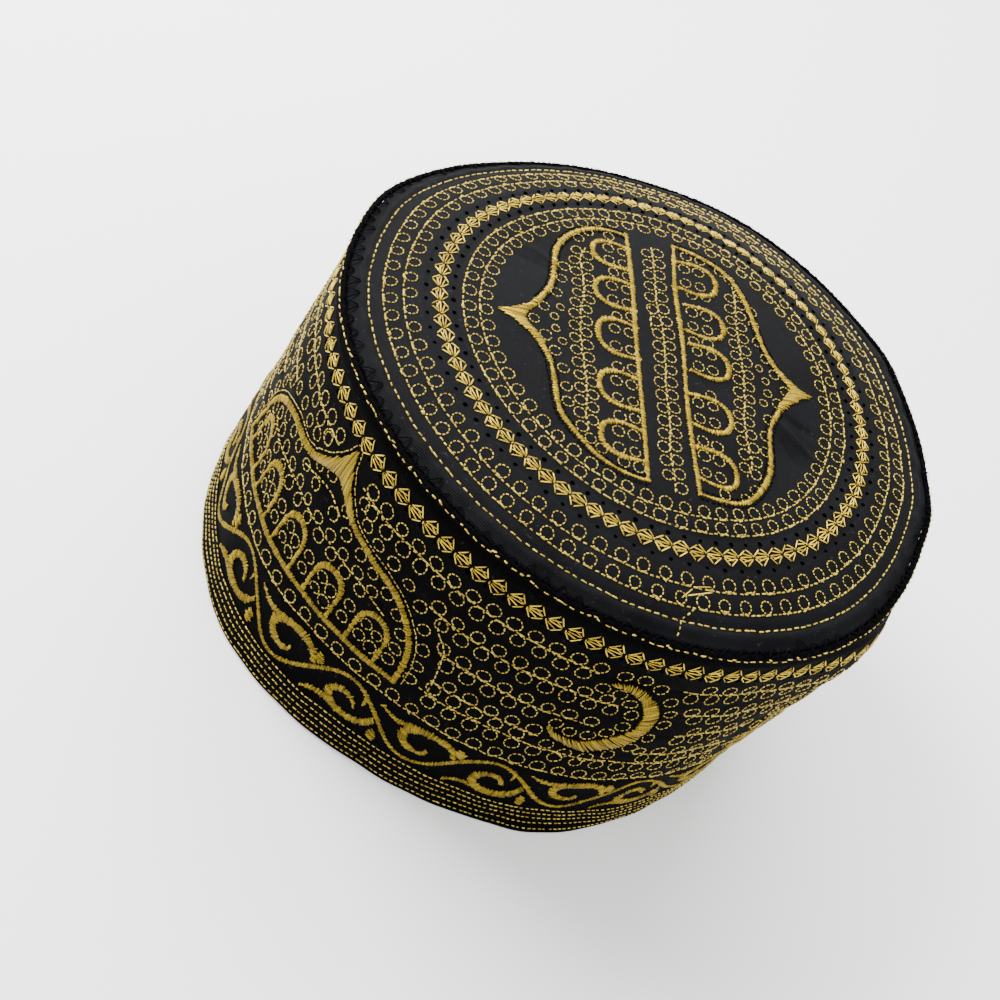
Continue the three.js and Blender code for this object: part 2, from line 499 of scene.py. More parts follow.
class RidgeChart(Chart):
    """The seam's cord: an angle round the cap, and an angle round its own section."""

    step = np.array([0.05, 0.5])
    size: float = 0.85
    proud: float = 0.15

    def surface(self, spots: np.ndarray) -> np.ndarray:
        """Points of the cord: a circle of its size carried along the seam, a little wavy.

        Args:
            spots: Angles round the cap and round the section, in degrees.

        Returns:
            Points in millimetres.
        """
        angle = spots[..., 0]
        round_it = np.radians(spots[..., 1])
        size = self.size * (1.0 + 0.04 * np.sin(150 * np.radians(angle) + np.sin(round_it)))
        centre = FORM.seam_radius(angle) + self.proud - self.size
        height = FORM.seam_level(angle) + size * np.sin(round_it)
        return polar(centre + size * np.cos(round_it), angle, height)


def put_mesh(
    name: str, points: np.ndarray, quads: np.ndarray, triangles: np.ndarray
) -> bpy.types.Object:
    """Makes an object from arrays, in metres, with smooth faces.

    Args:
        name: The piece's name.
        points: Corners in millimetres.
        quads: Four corner numbers a row.
        triangles: Three corner numbers a row.

    Returns:
        The new object, linked to the scene.
    """
    quads = quads.reshape(-1, 4)
    triangles = triangles.reshape(-1, 3)
    mesh = bpy.data.meshes.new(name)
    mesh.vertices.add(len(points))
    mesh.vertices.foreach_set("co", (points * MM).astype(np.float32).ravel())
    corners = np.concatenate([quads.ravel(), triangles.ravel()]).astype(np.int32)
    mesh.loops.add(len(corners))
    mesh.loops.foreach_set("vertex_index", corners)
    starts = np.concatenate(
        [4 * np.arange(len(quads)), 4 * len(quads) + 3 * np.arange(len(triangles))]
    )
    mesh.polygons.add(len(starts))
    mesh.polygons.foreach_set("loop_start", starts.astype(np.int32))
    mesh.update(calc_edges=True)
    mesh.polygons.foreach_set("use_smooth", np.ones(len(starts), bool))
    mesh.validate()
    piece = bpy.data.objects.new(name, mesh)
    bpy.context.scene.collection.objects.link(piece)
    return piece


def add_map(piece: bpy.types.Object, corners: np.ndarray) -> None:
    """Gives a piece the map "cloth": millimetres across and along the cloth at each corner."""
    layer = piece.data.uv_layers.new(name="cloth")
    layer.data.foreach_set("uv", corners.astype(np.float32).ravel())


def ring_quads(segments: int, count: int, closed: bool) -> np.ndarray:
    """Faces of a grid that runs round the cap, one section to the next.

    Args:
        segments: Sections round the cap.
        count: Points in a section.
        closed: Whether each section closes on itself.

    Returns:
        Four corner numbers a row, facing outwards.
    """
    here = np.arange(segments)[:, None] * count
    following = ((np.arange(segments) + 1) % segments)[:, None] * count
    low = np.arange(count if closed else count - 1)[None, :]
    high = (low + 1) % count
    return np.stack([here + low, following + low, following + high, here + high], axis=-1)


def ring_map(sections: np.ndarray, closed: bool, reference: float) -> np.ndarray:
    """Map of a ring shell: the arc at a reference radius, and the length along the section.

    Args:
        sections: Points, a row for each section.
        closed: Whether each section closes on itself.
        reference: Radius in millimetres at which the arc is measured.

    Returns:
        Two numbers for each corner of each face.
    """
    segments, count = sections.shape[:2]
    step = np.linalg.norm(np.diff(sections, axis=1, append=sections[:, :1]), axis=-1)
    along = np.concatenate([np.zeros((segments, 1)), np.cumsum(step, axis=1)], axis=1)
    arc = np.radians(360.0 / segments) * reference * np.arange(segments + 1)
    last = count if closed else count - 1
    low = np.arange(last)[None, :]
    here = np.arange(segments)[:, None]
    after = (here + 1) % segments
    across = [arc[here], arc[here + 1], arc[here + 1], arc[here]]
    up = [along[here, low], along[after, low], along[after, low + 1], along[here, low + 1]]
    grid = np.zeros((segments, last))
    pairs = [np.stack(np.broadcast_arrays(a, b, grid)[:2], -1) for a, b in zip(across, up)]
    return np.stack(pairs, axis=2)


@dataclass
class ThreadWork:
    """Stitches laid on one chart, kept until they are sewn into a piece.

    A stitch is a closed lens of thread: rings of four points between two pointed ends that dip
    into the cloth. The middle of the stitch rises by its rise times 4 u (1 - u) to the power 0.5.
    """

    chart: Chart
    seed: int
    rings: tuple = (0.2, 0.8)
    rows: list = field(default_factory=list)

    def __post_init__(self) -> None:
        """Starts the seeded dice."""
        self.dice = np.random.default_rng(self.seed)

    def lay(
        self,
        start: np.ndarray,
        end: np.ndarray,
        normal: np.ndarray,
        width: float,
        rise: np.ndarray,
    ) -> None:
        """Keeps stitches between points of the cloth.

        Args:
            start: First ends in millimetres.
            end: Second ends.
            normal: Directions out of the cloth.
            width: Thread width.
            rise: How far the middle stands up, one number or one a stitch.
        """
        count = len(start)
        wide = width * (1.0 + 0.08 * self.dice.standard_normal(count))
        # A random tone for each stitch, partly the thread's own tone and partly painted glints and shade
        # between strands in the thread's colour.
        tone = self.dice.uniform(-1.0, 1.0, count)
        high = np.broadcast_to(rise, (count,))
        self.rows.append(np.column_stack([start, end, normal, wide, high, tone]))

    def join(self, first: np.ndarray, second: np.ndarray, width: float, rise: np.ndarray) -> None:
        """Lays stitches between two sets of chart places.

        Args:
            first: First ends.
            second: Second ends.
            width: Thread width.
            rise: How far the middle stands up.
        """
        start, up, _ = self.chart.frame_at(first)
        end, down, _ = self.chart.frame_at(second)
        self.lay(start, end, unit(up + down), width, rise)

    def walk(self, path: np.ndarray) -> tuple[np.ndarray, np.ndarray]:
        """The running length in millimetres along a dense path, and its chart places."""
        points = self.chart.surface(path[:, :2])
        length = np.linalg.norm(np.diff(points, axis=0), axis=1)
        return np.concatenate([[0.0], np.cumsum(length)]), path

    def at(self, along: np.ndarray, path: np.ndarray, places: np.ndarray) -> np.ndarray:
        """Path rows at running lengths, by straight interpolation of each column."""
        columns = [np.interp(places, along, path[:, k]) for k in range(path.shape[1])]
        return np.column_stack(columns)

    def beside(self, path: np.ndarray, distance: float) -> np.ndarray:
        """A path moved sideways in the cloth.

        Args:
            path: Dense chart places.
            distance: Millimetres to the left of the path's own direction.

        Returns:
            The moved path.
        """
        _, _, size = self.chart.frame_at(path[:, :2])
        way = unit(np.gradient(path[:, :2], axis=0) * size)
        side = np.column_stack([-way[:, 1], way[:, 0]])
        moved = path.copy()
        moved[:, :2] = path[:, :2] + distance * side / size
        return moved

    def run(
        self,
        path: np.ndarray,
        stitch: Running,
        keep: Optional[Callable[[np.ndarray], np.ndarray]] = None,
    ) -> None:
        """Running stitches along a path.

        Args:
            path: Dense chart places.
            stitch: The kind of stitch.
            keep: Says which chart places may be sewn.
        """
        along, path = self.walk(path)
        count = max(int(along[-1] / stitch.pitch), 1)
        begin = (np.arange(count) + 0.08 * self.dice.standard_normal(count)) * along[-1] / count
        stop = begin + stitch.length * (1.0 + 0.08 * self.dice.standard_normal(count))
        first = self.at(along, path, np.clip(begin, 0, along[-1]))[:, :2]
        second = self.at(along, path, np.clip(stop, 0, along[-1]))[:, :2]
        _, _, size = self.chart.frame_at(first)
        stray = stitch.wander * self.dice.standard_normal((2, count, 2))
        first = first + stray[0] / size
        second = second + stray[1] / size
        if keep is not None:
            wanted = keep((first + second) / 2.0)
            first, second = first[wanted], second[wanted]
        if len(first):
            self.join(first, second, stitch.width, stitch.rise)

    def loops(
        self,
        centres: np.ndarray,
        outward: np.ndarray,
        radius: float,
        mouth: float = 10.0,
        sides: int = 9,
    ) -> None:
        """Small open rings of short stitches.

        Corners lie on a circle, at angles from the outward way that leave a mouth at the base.

        Args:
            centres: Chart places.
            outward: Directions in the cloth, away from the carrying line.
            radius: Radius of the ring's thread.
            mouth: Half the angle of the ring's mouth, in degrees.
            sides: Stitches round the ring.
        """
        count = len(centres)
        if not count:
            return
        angle = np.radians(np.linspace(mouth - 180.0, 180.0 - mouth, sides + 1))
        angle = angle + 0.06 * self.dice.standard_normal((count, 1))
        angle = angle + 0.05 * self.dice.standard_normal((count, sides + 1))
        size = radius * (1.0 + 0.05 * self.dice.standard_normal((count, 1)))
        size = size * (1.0 + 0.04 * self.dice.standard_normal((count, sides + 1)))
        out = np.broadcast_to(unit(outward), (count, 2))[:, None, :]
        side = np.stack([-out[..., 1], out[..., 0]], axis=-1)
        offset = size[..., None] * (np.cos(angle)[..., None] * out + np.sin(angle)[..., None] * side)
        _, _, grain = self.chart.frame_at(centres)
        spots = centres[:, None, :] + offset / grain[:, None, :]
        first = spots[:, :-1].reshape(-1, 2)
        second = spots[:, 1:].reshape(-1, 2)
        shrink = 0.08 * (second - first)
        self.join(first + shrink, second - shrink, THREAD.thin, 0.12)

    def knots(self, centres: np.ndarray, along: np.ndarray) -> None:
        """Small knots of two crossed strands where rings leave their line.

        Args:
            centres: Chart places.
            along: Direction of the line in the cloth.
        """
        if not len(centres):
            return
        _, _, grain = self.chart.frame_at(centres)
        way = np.broadcast_to(unit(along), (len(centres), 2))
        for _ in range(2):
            slant = way + 0.3 * self.dice.standard_normal((len(centres), 2))
            half = 0.7 * unit(slant) / grain
            shift = 0.16 * self.dice.standard_normal((len(centres), 2)) / grain
            self.join(centres + shift - half, centres + shift + half, THREAD.fine, 0.25)

    def satin(self, path: np.ndarray, kind: Satin) -> None:
        """Zigzag satin across a path whose third column is its width.

        Every second strand slants the other way, so pairs meet at one edge and part at the other.

        Args:
            path: Dense chart places and the satin's width in millimetres.
            kind: The kind of satin.
        """
        along, path = self.walk(path)
        count = max(int(along[-1] / kind.pitch), 2)
        places = np.linspace(0.0, along[-1], count)
        spots = self.at(along, path, places)
        _, _, size = self.chart.frame_at(spots[:, :2])
        near = self.at(along, path, np.clip(places - 0.4, 0, along[-1]))[:, :2]
        far = self.at(along, path, np.clip(places + 0.4, 0, along[-1]))[:, :2]
        way = unit((far - near) * size)
        side = np.column_stack([-way[:, 1], way[:, 0]])
        half = spots[:, 2:3] / 2.0 + kind.ragged * self.dice.standard_normal((count, 1))
        swing = kind.zigzag * kind.pitch * (-1.0) ** np.arange(count)[:, None]
        slant = (kind.lean + swing) * way
        first = spots[:, :2] + (half * side + slant) / size
        second = spots[:, :2] - (half * side + slant) / size
        self.join(first, second, kind.width, kind.rise + 0.05 * spots[:, 2])

    def between(self, edge: np.ndarray, other: np.ndarray, kind: Satin, lead: float = 0.0) -> None:
        """Satin strands from one edge to another, at shares of both edges' lengths.

        Args:
            edge: One edge's dense chart places.
            other: The other edge's.
            kind: The kind of satin.
            lead: By how much of its length the other edge's share runs ahead.
        """
        along, edge = self.walk(edge)
        beyond, other = self.walk(other)
        count = int(max(along[-1], beyond[-1]) / kind.pitch)
        share = np.linspace(0.0, 1.0, count)
        first = self.at(along, edge, share * along[-1])[:, :2]
        ahead = np.clip(share + lead, 0.0, 1.0)
        second = self.at(beyond, other, ahead * beyond[-1])[:, :2]
        _, _, size = self.chart.frame_at(first)
        first = first + kind.ragged * self.dice.standard_normal((count, 2)) / size
        second = second + kind.ragged * self.dice.standard_normal((count, 2)) / size
        self.join(first, second, kind.width, kind.rise)

    def sew(self, name: str) -> bpy.types.Object:
        """Joins all the laid stitches into one piece.

        Ring corners lie at the left, top, right and bottom of the thread. The point attribute
        "strand" holds the length along the stitch, the share across it and the stitch's tone.

        Args:
            name: The piece's name.

        Returns:
            The new object.
        """
        rows = np.vstack(self.rows)
        start, end, normal = rows[:, 0:3], rows[:, 3:6], rows[:, 6:9]
        wide, rise, tone = rows[:, 9], rows[:, 10], rows[:, 11]
        count = len(rows)
        span = end - start
        length = np.linalg.norm(span, axis=1)
        side = unit(np.cross(normal, span))
        lift = unit(np.cross(span, side))
        share = np.array(self.rings)
        bend = np.sqrt(4.0 * share * (1.0 - share))
        up = normal[:, None, :] * (rise[:, None] * bend[None, :])[..., None]
        middle = start[:, None, :] + span[:, None, :] * share[None, :, None] + up
        across = side[:, None, None, :] * np.array([1.0, 0.0, -1.0, 0.0])[None, None, :, None]
        upright = lift[:, None, None, :] * np.array([0.0, 1.0, 0.0, -1.0])[None, None, :, None]
        half = (wide / 2.0)[:, None, None, None]
        ring = middle[:, :, None, :] + half * (across + 0.85 * upright)
        dip = 0.15 * normal
        points = np.concatenate(
            [(start - dip)[:, None, :], ring.reshape(count, -1, 3), (end - dip)[:, None, :]], axis=1
        )
        each = points.shape[1]
        base = np.arange(count)[:, None, None] * each
        turn_on = np.array([1, 2, 3, 0])
        near = np.column_stack([np.zeros(4, int), 1 + turn_on, 1 + np.arange(4)])
        last = 1 + 4 * (len(share) - 1)
        far = np.column_stack([np.full(4, each - 1), last + np.arange(4), last + turn_on])
        tips = base + np.vstack([near, far])[None]
        spans = [
            np.column_stack([a + np.arange(4), a + turn_on, a + 4 + turn_on, a + 4 + np.arange(4)])
            for a in range(1, last, 4)
        ]
        walls = base + np.vstack(spans)[None]
        piece = put_mesh(name, points.reshape(-1, 3), walls, tips)
        travel = np.concatenate([[0.0], np.repeat(share, 4), [1.0]])
        across_share = np.concatenate([[0.5], np.tile([0.0, 0.5, 1.0, 0.5], len(share)), [0.5]])
        strand = np.stack(
            [
                length[:, None] * travel[None, :] + 3.0 * tone[:, None],
                np.broadcast_to(across_share, (count, each)),
                np.broadcast_to(tone[:, None], (count, each)),
            ],
            axis=-1,
        )
        layer = piece.data.attributes.new("strand", "FLOAT_VECTOR", "POINT")
        layer.data.foreach_set("vector", strand.astype(np.float32).ravel())
        LOG.info("%s: %d stitches, %d triangles", name, count, len(tips) * 8 + walls.size // 2)
        return piece


class NodeSheet:
    """Short ways to place and join shader nodes in one tree."""

    def __init__(self, tree: bpy.types.NodeTree) -> None:
        """Keeps the tree."""
        self.tree = tree

    def node(self, kind: str, **settings: object) -> bpy.types.Node:
        """Adds a node and sets its own fields."""
        made = self.tree.nodes.new(kind)
        for key, value in settings.items():
            setattr(made, key, value)
        return made

    def link(self, source: bpy.types.NodeSocket, target: bpy.types.NodeSocket) -> None:
        """Joins two sockets."""
        self.tree.links.new(source, target)

    def put(self, value: object, target: bpy.types.NodeSocket) -> None:
        """Feeds a socket from another socket or from a plain value."""
        if isinstance(value, bpy.types.NodeSocket):
            self.link(value, target)
        else:
            target.default_value = value

    def math(
        self, operation: str, first: object, second: object = 0.0, third: object = 0.0
    ) -> bpy.types.NodeSocket:
        """Adds one arithmetic step.

        Args:
            operation: Blender's name of the step.
            first: The first value, a socket or a number.
            second: The second.
            third: The third, for steps that have one.

        Returns:
            The socket of its result.
        """
        made = self.node("ShaderNodeMath", operation=operation)
        self.put(first, made.inputs[0])
        self.put(second, made.inputs[1])
        self.put(third, made.inputs[2])
        return made.outputs[0]

    def blend(self, share: object, low: object, high: object) -> bpy.types.NodeSocket:
        """Mixes two colours by a share.

        Args:
            share: How much of the high colour, a socket or a number.
            low: The colour at share 0, a socket or four numbers.
            high: The colour at share 1.

        Returns:
            The socket of the colour.
        """
        made = self.node("ShaderNodeMix", data_type="RGBA")
        self.put(share, made.inputs["Factor"])
        low_colour, high_colour, result = made.inputs[6], made.inputs[7], made.outputs[2]
        self.put(low, low_colour)
        self.put(high, high_colour)
        return result

    def ramp(self, value: object, low: float, high: float) -> bpy.types.NodeSocket:
        """Maps a value to a share, held at both ends.

        Args:
            value: The value's socket.
            low: Where the share is 0.
            high: Where it is 1.

        Returns:
            The socket of the share.
        """
        made = self.node("ShaderNodeMapRange")
        self.put(value, made.inputs["Value"])
        made.inputs["From Min"].default_value = low
        made.inputs["From Max"].default_value = high
        return made.outputs["Result"]


def new_group(
    name: str, inputs: dict, outputs: Sequence[str]
) -> tuple[bpy.types.NodeTree, NodeSheet]:
    """Starts a shader node group.

    Args:
        name: The group's name.
        inputs: Socket name to its kind, a vector where the value is None, else a number.
        outputs: Names of the number outputs.

    Returns:
        The group's tree and its sheet.
    """
    tree = bpy.data.node_groups.new(name, "ShaderNodeTree")
    for label, value in inputs.items():
        kind = "NodeSocketVector" if value is None else "NodeSocketFloat"
        socket = tree.interface.new_socket(name=label, in_out="INPUT", socket_type=kind)
        if value is not None:
            socket.default_value = value
    for label in outputs:
        tree.interface.new_socket(name=label, in_out="OUTPUT", socket_type="NodeSocketFloat")
    return tree, NodeSheet(tree)


def twill_group() -> bpy.types.NodeTree:
    """Twill weave from a map in millimetres.

    Height is a diagonal rib, half + half sin(2 pi (u + v) / 3), with the round backs of warp and
    weft, |sin(pi u)| and |sin(pi v)|, laid over it. u and v count yarns.
    """
    tree, sheet = new_group("Twill weave", {"Vector": None, "Yarn": 0.3, "Rib": 0.5}, ["Height"])
    entry = sheet.node("NodeGroupInput")
    leave = sheet.node("NodeGroupOutput")
    split = sheet.node("ShaderNodeSeparateXYZ")
    sheet.link(entry.outputs["Vector"], split.inputs[0])
    u = sheet.math("DIVIDE", split.outputs[0], entry.outputs["Yarn"])
    v = sheet.math("DIVIDE", split.outputs[1], entry.outputs["Yarn"])
    diagonal = sheet.math("MULTIPLY", sheet.math("ADD", u, v), 2.0 * np.pi / 3.0)
    rib = sheet.math("MULTIPLY_ADD", sheet.math("SINE", diagonal), 0.5, 0.5)
    warp = sheet.math("ABSOLUTE", sheet.math("SINE", sheet.math("MULTIPLY", u, np.pi)))
    weft = sheet.math("ABSOLUTE", sheet.math("SINE", sheet.math("MULTIPLY", v, np.pi)))
    yarns = sheet.math("MULTIPLY", sheet.math("ADD", warp, weft), 0.5)
    ribbed = sheet.math("MULTIPLY", rib, entry.outputs["Rib"])
    flat = sheet.math("SUBTRACT", 1.0, entry.outputs["Rib"])
    total = sheet.math("ADD", ribbed, sheet.math("MULTIPLY", yarns, flat))
    sheet.link(total, leave.inputs["Height"])
    return tree


def twist_group() -> bpy.types.NodeTree:
    """Twisted strands of a thread: half + half sin(2 pi (length / pitch + share across))."""
    tree, sheet = new_group("Thread twist", {"Vector": None, "Pitch": 0.7}, ["Height", "Tone"])
    entry = sheet.node("NodeGroupInput")
    leave = sheet.node("NodeGroupOutput")
    split = sheet.node("ShaderNodeSeparateXYZ")
    sheet.link(entry.outputs["Vector"], split.inputs[0])
    turns = sheet.math("DIVIDE", split.outputs[0], entry.outputs["Pitch"])
    phase = sheet.math("MULTIPLY", sheet.math("ADD", turns, split.outputs[1]), 2.0 * np.pi)
    wave = sheet.math("MULTIPLY_ADD", sheet.math("SINE", phase), 0.5, 0.5)
    sheet.link(wave, leave.inputs["Height"])
    sheet.link(split.outputs[2], leave.inputs["Tone"])
    return tree


def lint_group() -> bpy.types.NodeTree:
    """Broad patches and fine lint specks from two noises on the given place."""
    tree, sheet = new_group("Lint and patches", {"Vector": None, "Fine": 900.0}, ["Patch", "Speck"])
    entry = sheet.node("NodeGroupInput")
    leave = sheet.node("NodeGroupOutput")
    broad = sheet.node("ShaderNodeTexNoise")
    broad.inputs["Scale"].default_value = 42.0
    broad.inputs["Detail"].default_value = 3.0
    sheet.link(entry.outputs["Vector"], broad.inputs["Vector"])
    fine = sheet.node("ShaderNodeTexNoise")
    fine.inputs["Detail"].default_value = 2.0
    sheet.link(entry.outputs["Vector"], fine.inputs["Vector"])
    sheet.link(entry.outputs["Fine"], fine.inputs["Scale"])
    sheet.link(broad.outputs["Fac"], leave.inputs["Patch"])
    sheet.link(sheet.ramp(fine.outputs["Fac"], 0.66, 0.78), leave.inputs["Speck"])
    return tree


class Groups:
    """The shared node groups, each made once."""

    twill: bpy.types.NodeTree = None
    twist: bpy.types.NodeTree = None
    lint: bpy.types.NodeTree = None

    @classmethod
    def make(cls) -> None:
        """Makes all the groups."""
        cls.twill = twill_group()
        cls.twist = twist_group()
        cls.lint = lint_group()


def new_material(name: str) -> tuple[bpy.types.Material, NodeSheet, bpy.types.Node]:
    """Makes a node material.

    Args:
        name: The material's name.

    Returns:
        The material, its sheet and its Principled shader.
    """
    material = bpy.data.materials.new(name)
    material.use_nodes = True
    return material, NodeSheet(material.node_tree), material.node_tree.nodes["Principled BSDF"]


@dataclass(frozen=True)
class ClothFinish:
    """A woven cloth: two depths of one colour, dark a painted groove shade and light a painted rib
    highlight, with twill relief and a little lint.
    """

    name: str
    dark: tuple
    light: tuple
    lint: tuple
    yarn: float
    rib: float
    roughness: float
    shine: float
    relief: float
    lint_share: float

    def make(self) -> bpy.types.Material:
        """Builds the cloth's material on its map "cloth" and on Object coordinates."""
        material, sheet, shader = new_material(self.name)
        place = sheet.node("ShaderNodeTexCoord")
        cloth = sheet.node("ShaderNodeUVMap", uv_map="cloth")
        twill = sheet.node("ShaderNodeGroup", node_tree=Groups.twill)
        sheet.link(cloth.outputs[0], twill.inputs["Vector"])
        twill.inputs["Yarn"].default_value = self.yarn
        twill.inputs["Rib"].default_value = self.rib
        lint = sheet.node("ShaderNodeGroup", node_tree=Groups.lint)
        sheet.link(place.outputs["Object"], lint.inputs["Vector"])
        # Painted highlight and shade: the twill's raised ribs are coloured toward light and its grooves
        # toward dark, scaled by the broad random patch.
        weave = sheet.math("MULTIPLY", twill.outputs["Height"], lint.outputs["Patch"])
        base = sheet.blend(sheet.ramp(weave, 0.12, 0.46), self.dark, self.light)
        speck = sheet.math("MULTIPLY", lint.outputs["Speck"], self.lint_share)
        sheet.link(sheet.blend(speck, base, self.lint), shader.inputs["Base Color"])
        rough = sheet.math("MULTIPLY_ADD", lint.outputs["Patch"], 0.25, self.roughness)
        sheet.link(rough, shader.inputs["Roughness"])
        bump = sheet.node("ShaderNodeBump")
        bump.inputs["Strength"].default_value = 0.8
        bump.inputs["Distance"].default_value = self.relief * MM
        sheet.link(twill.outputs["Height"], bump.inputs["Height"])
        sheet.link(bump.outputs[0], shader.inputs["Normal"])
        shader.inputs["Specular IOR Level"].default_value = self.shine
        return material


@dataclass(frozen=True)
class ThreadFinish:
    """A twisted thread: three tones by stitch and by strand, from low, a painted shade tone, to high, a
    painted highlight tone, with a relief along the twist.
    """

    name: str
    low: tuple
    high: tuple
    metallic: float
    roughness: float
    pitch: float
    shine: float = 0.25

    def make(self) -> bpy.types.Material:
        """Builds the thread's material on the attribute "strand"."""
        material, sheet, shader = new_material(self.name)
        strand = sheet.node("ShaderNodeAttribute", attribute_name="strand")
        twist = sheet.node("ShaderNodeGroup", node_tree=Groups.twist)
        sheet.link(strand.outputs["Vector"], twist.inputs["Vector"])
        twist.inputs["Pitch"].default_value = self.pitch
        # Painted highlight and shade: each stitch's random tone, partly the thread's own tone and partly
        # painted glints and shade between strands, plus a painted highlight on the twist's crests, sets the
        # mix of low and high.
        tone = sheet.math("MULTIPLY_ADD", twist.outputs["Tone"], 0.34, 0.36)
        share = sheet.math("MULTIPLY_ADD", twist.outputs["Height"], 0.4, tone)
        colour = sheet.blend(sheet.ramp(share, 0.0, 1.0), self.low, self.high)
        sheet.link(colour, shader.inputs["Base Color"])
        rough = sheet.math("MULTIPLY_ADD", twist.outputs["Height"], -0.12, self.roughness)
        sheet.link(rough, shader.inputs["Roughness"])
        bump = sheet.node("ShaderNodeBump")
        bump.inputs["Strength"].default_value = 0.6
        bump.inputs["Distance"].default_value = 0.06 * MM
        sheet.link(twist.outputs["Height"], bump.inputs["Height"])
        sheet.link(bump.outputs[0], shader.inputs["Normal"])
        shader.inputs["Metallic"].default_value = self.metallic
        shader.inputs["Specular IOR Level"].default_value = self.shine
        return material


class Finish(Enum):
    """The cap's finishes. The dark and light of a cloth, and the low and high of a thread, are painted
    shade and painted highlight tones.
    """

    CROWN_TWILL = ClothFinish(
        name="black crown twill",
        dark=(0.0001, 0.0001, 0.0002, 1.0),
        light=(0.0042, 0.0045, 0.0056, 1.0),
        lint=(0.05, 0.05, 0.055, 1.0),
        yarn=0.21,
        rib=0.8,
        roughness=0.45,
        shine=0.038,
        relief=0.14,
        lint_share=0.25,
    )
    BAND_CLOTH = ClothFinish(
        name="black band cloth",
        dark=(0.0002, 0.0002, 0.0003, 1.0),
        light=(0.0011, 0.0011, 0.0015, 1.0),
        lint=(0.03, 0.03, 0.03, 1.0),
        yarn=0.3,
        rib=0.4,
        roughness=0.55,
        shine=0.015,
        relief=0.12,
        lint_share=0.3,
    )
    GOLD_SATIN = ThreadFinish(
        name="gold satin thread",
        low=(0.03, 0.017, 0.001, 1.0),
        high=(0.38, 0.265, 0.026, 1.0),
        metallic=0.55,
        roughness=0.4,
        pitch=0.8,
        shine=0.06,
    )
    # Painted light: the side's gold satin thread coloured brighter, standing in for the stronger light that
    # falls on the crown.
    CROWN_SATIN = ThreadFinish(
        name="gold satin thread painted brighter for crown light",
        low=(0.05, 0.029, 0.002, 1.0),
        high=(0.5, 0.345, 0.03, 1.0),
        metallic=0.55,
        roughness=0.38,
        pitch=0.8,
        shine=0.08,
    )
    # Painted light: the gold thread coloured brighter for the diamond chains, making up for the shade among
    # their thin, packed strands.
    GOLD_CHAIN = ThreadFinish(
        name="gold chain thread painted brighter",
        low=(0.14, 0.08, 0.003, 1.0),
        high=(0.78, 0.56, 0.05, 1.0),
        metallic=0.4,
        roughness=0.4,
        pitch=0.8,
    )
    GOLD_RUN = ThreadFinish(
        name="gold running thread",
        low=(0.15, 0.09, 0.006, 1.0),
        high=(0.6, 0.46, 0.075, 1.0),
        metallic=0.35,
        roughness=0.4,
        pitch=0.6,
    )
    BLACK_THREAD = ThreadFinish(
        name="black sewing thread",
        low=(0.0005, 0.0005, 0.0008, 1.0),
        high=(0.0015, 0.0015, 0.002, 1.0),
        metallic=0.0,
        roughness=0.7,
        pitch=0.6,
        shine=0.02,
    )
    # Painted shade: near black with no shine, standing for the shade inside a needle hole.
    NEEDLE_HOLE = ThreadFinish(
        name="needle hole shade",
        low=(0.0, 0.0, 0.0, 1.0),
        high=(0.0002, 0.0002, 0.0002, 1.0),
        metallic=0.0,
        roughness=1.0,
        pitch=0.6,
        shine=0.0,
    )

    def material(self) -> bpy.types.Material:
        """The finish's material, made the first time it is asked for."""
        return bpy.data.materials.get(self.value.name) or self.value.make()


def dress(piece: bpy.types.Object, finish: Finish, slot: str, *nodes: str) -> bpy.types.Object:
    """Gives a piece its finish and its body, hides the nodes that it stands for and logs its record slot.

    Args:
        piece: The piece.
        finish: Its finish.
        slot: The record's material slot.
        nodes: The nodes that it replaces, if any.

    Returns:
        The same piece.
    """
    piece.data.materials.append(finish.material())
    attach(piece, "root")
    if nodes:
        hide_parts(*nodes)
    LOG.info("%s: %s on %s", piece.name, finish.value.name, slot)
    return piece


CROWN = CrownChart()
BAND = BandChart()
RIDGE = RidgeChart()


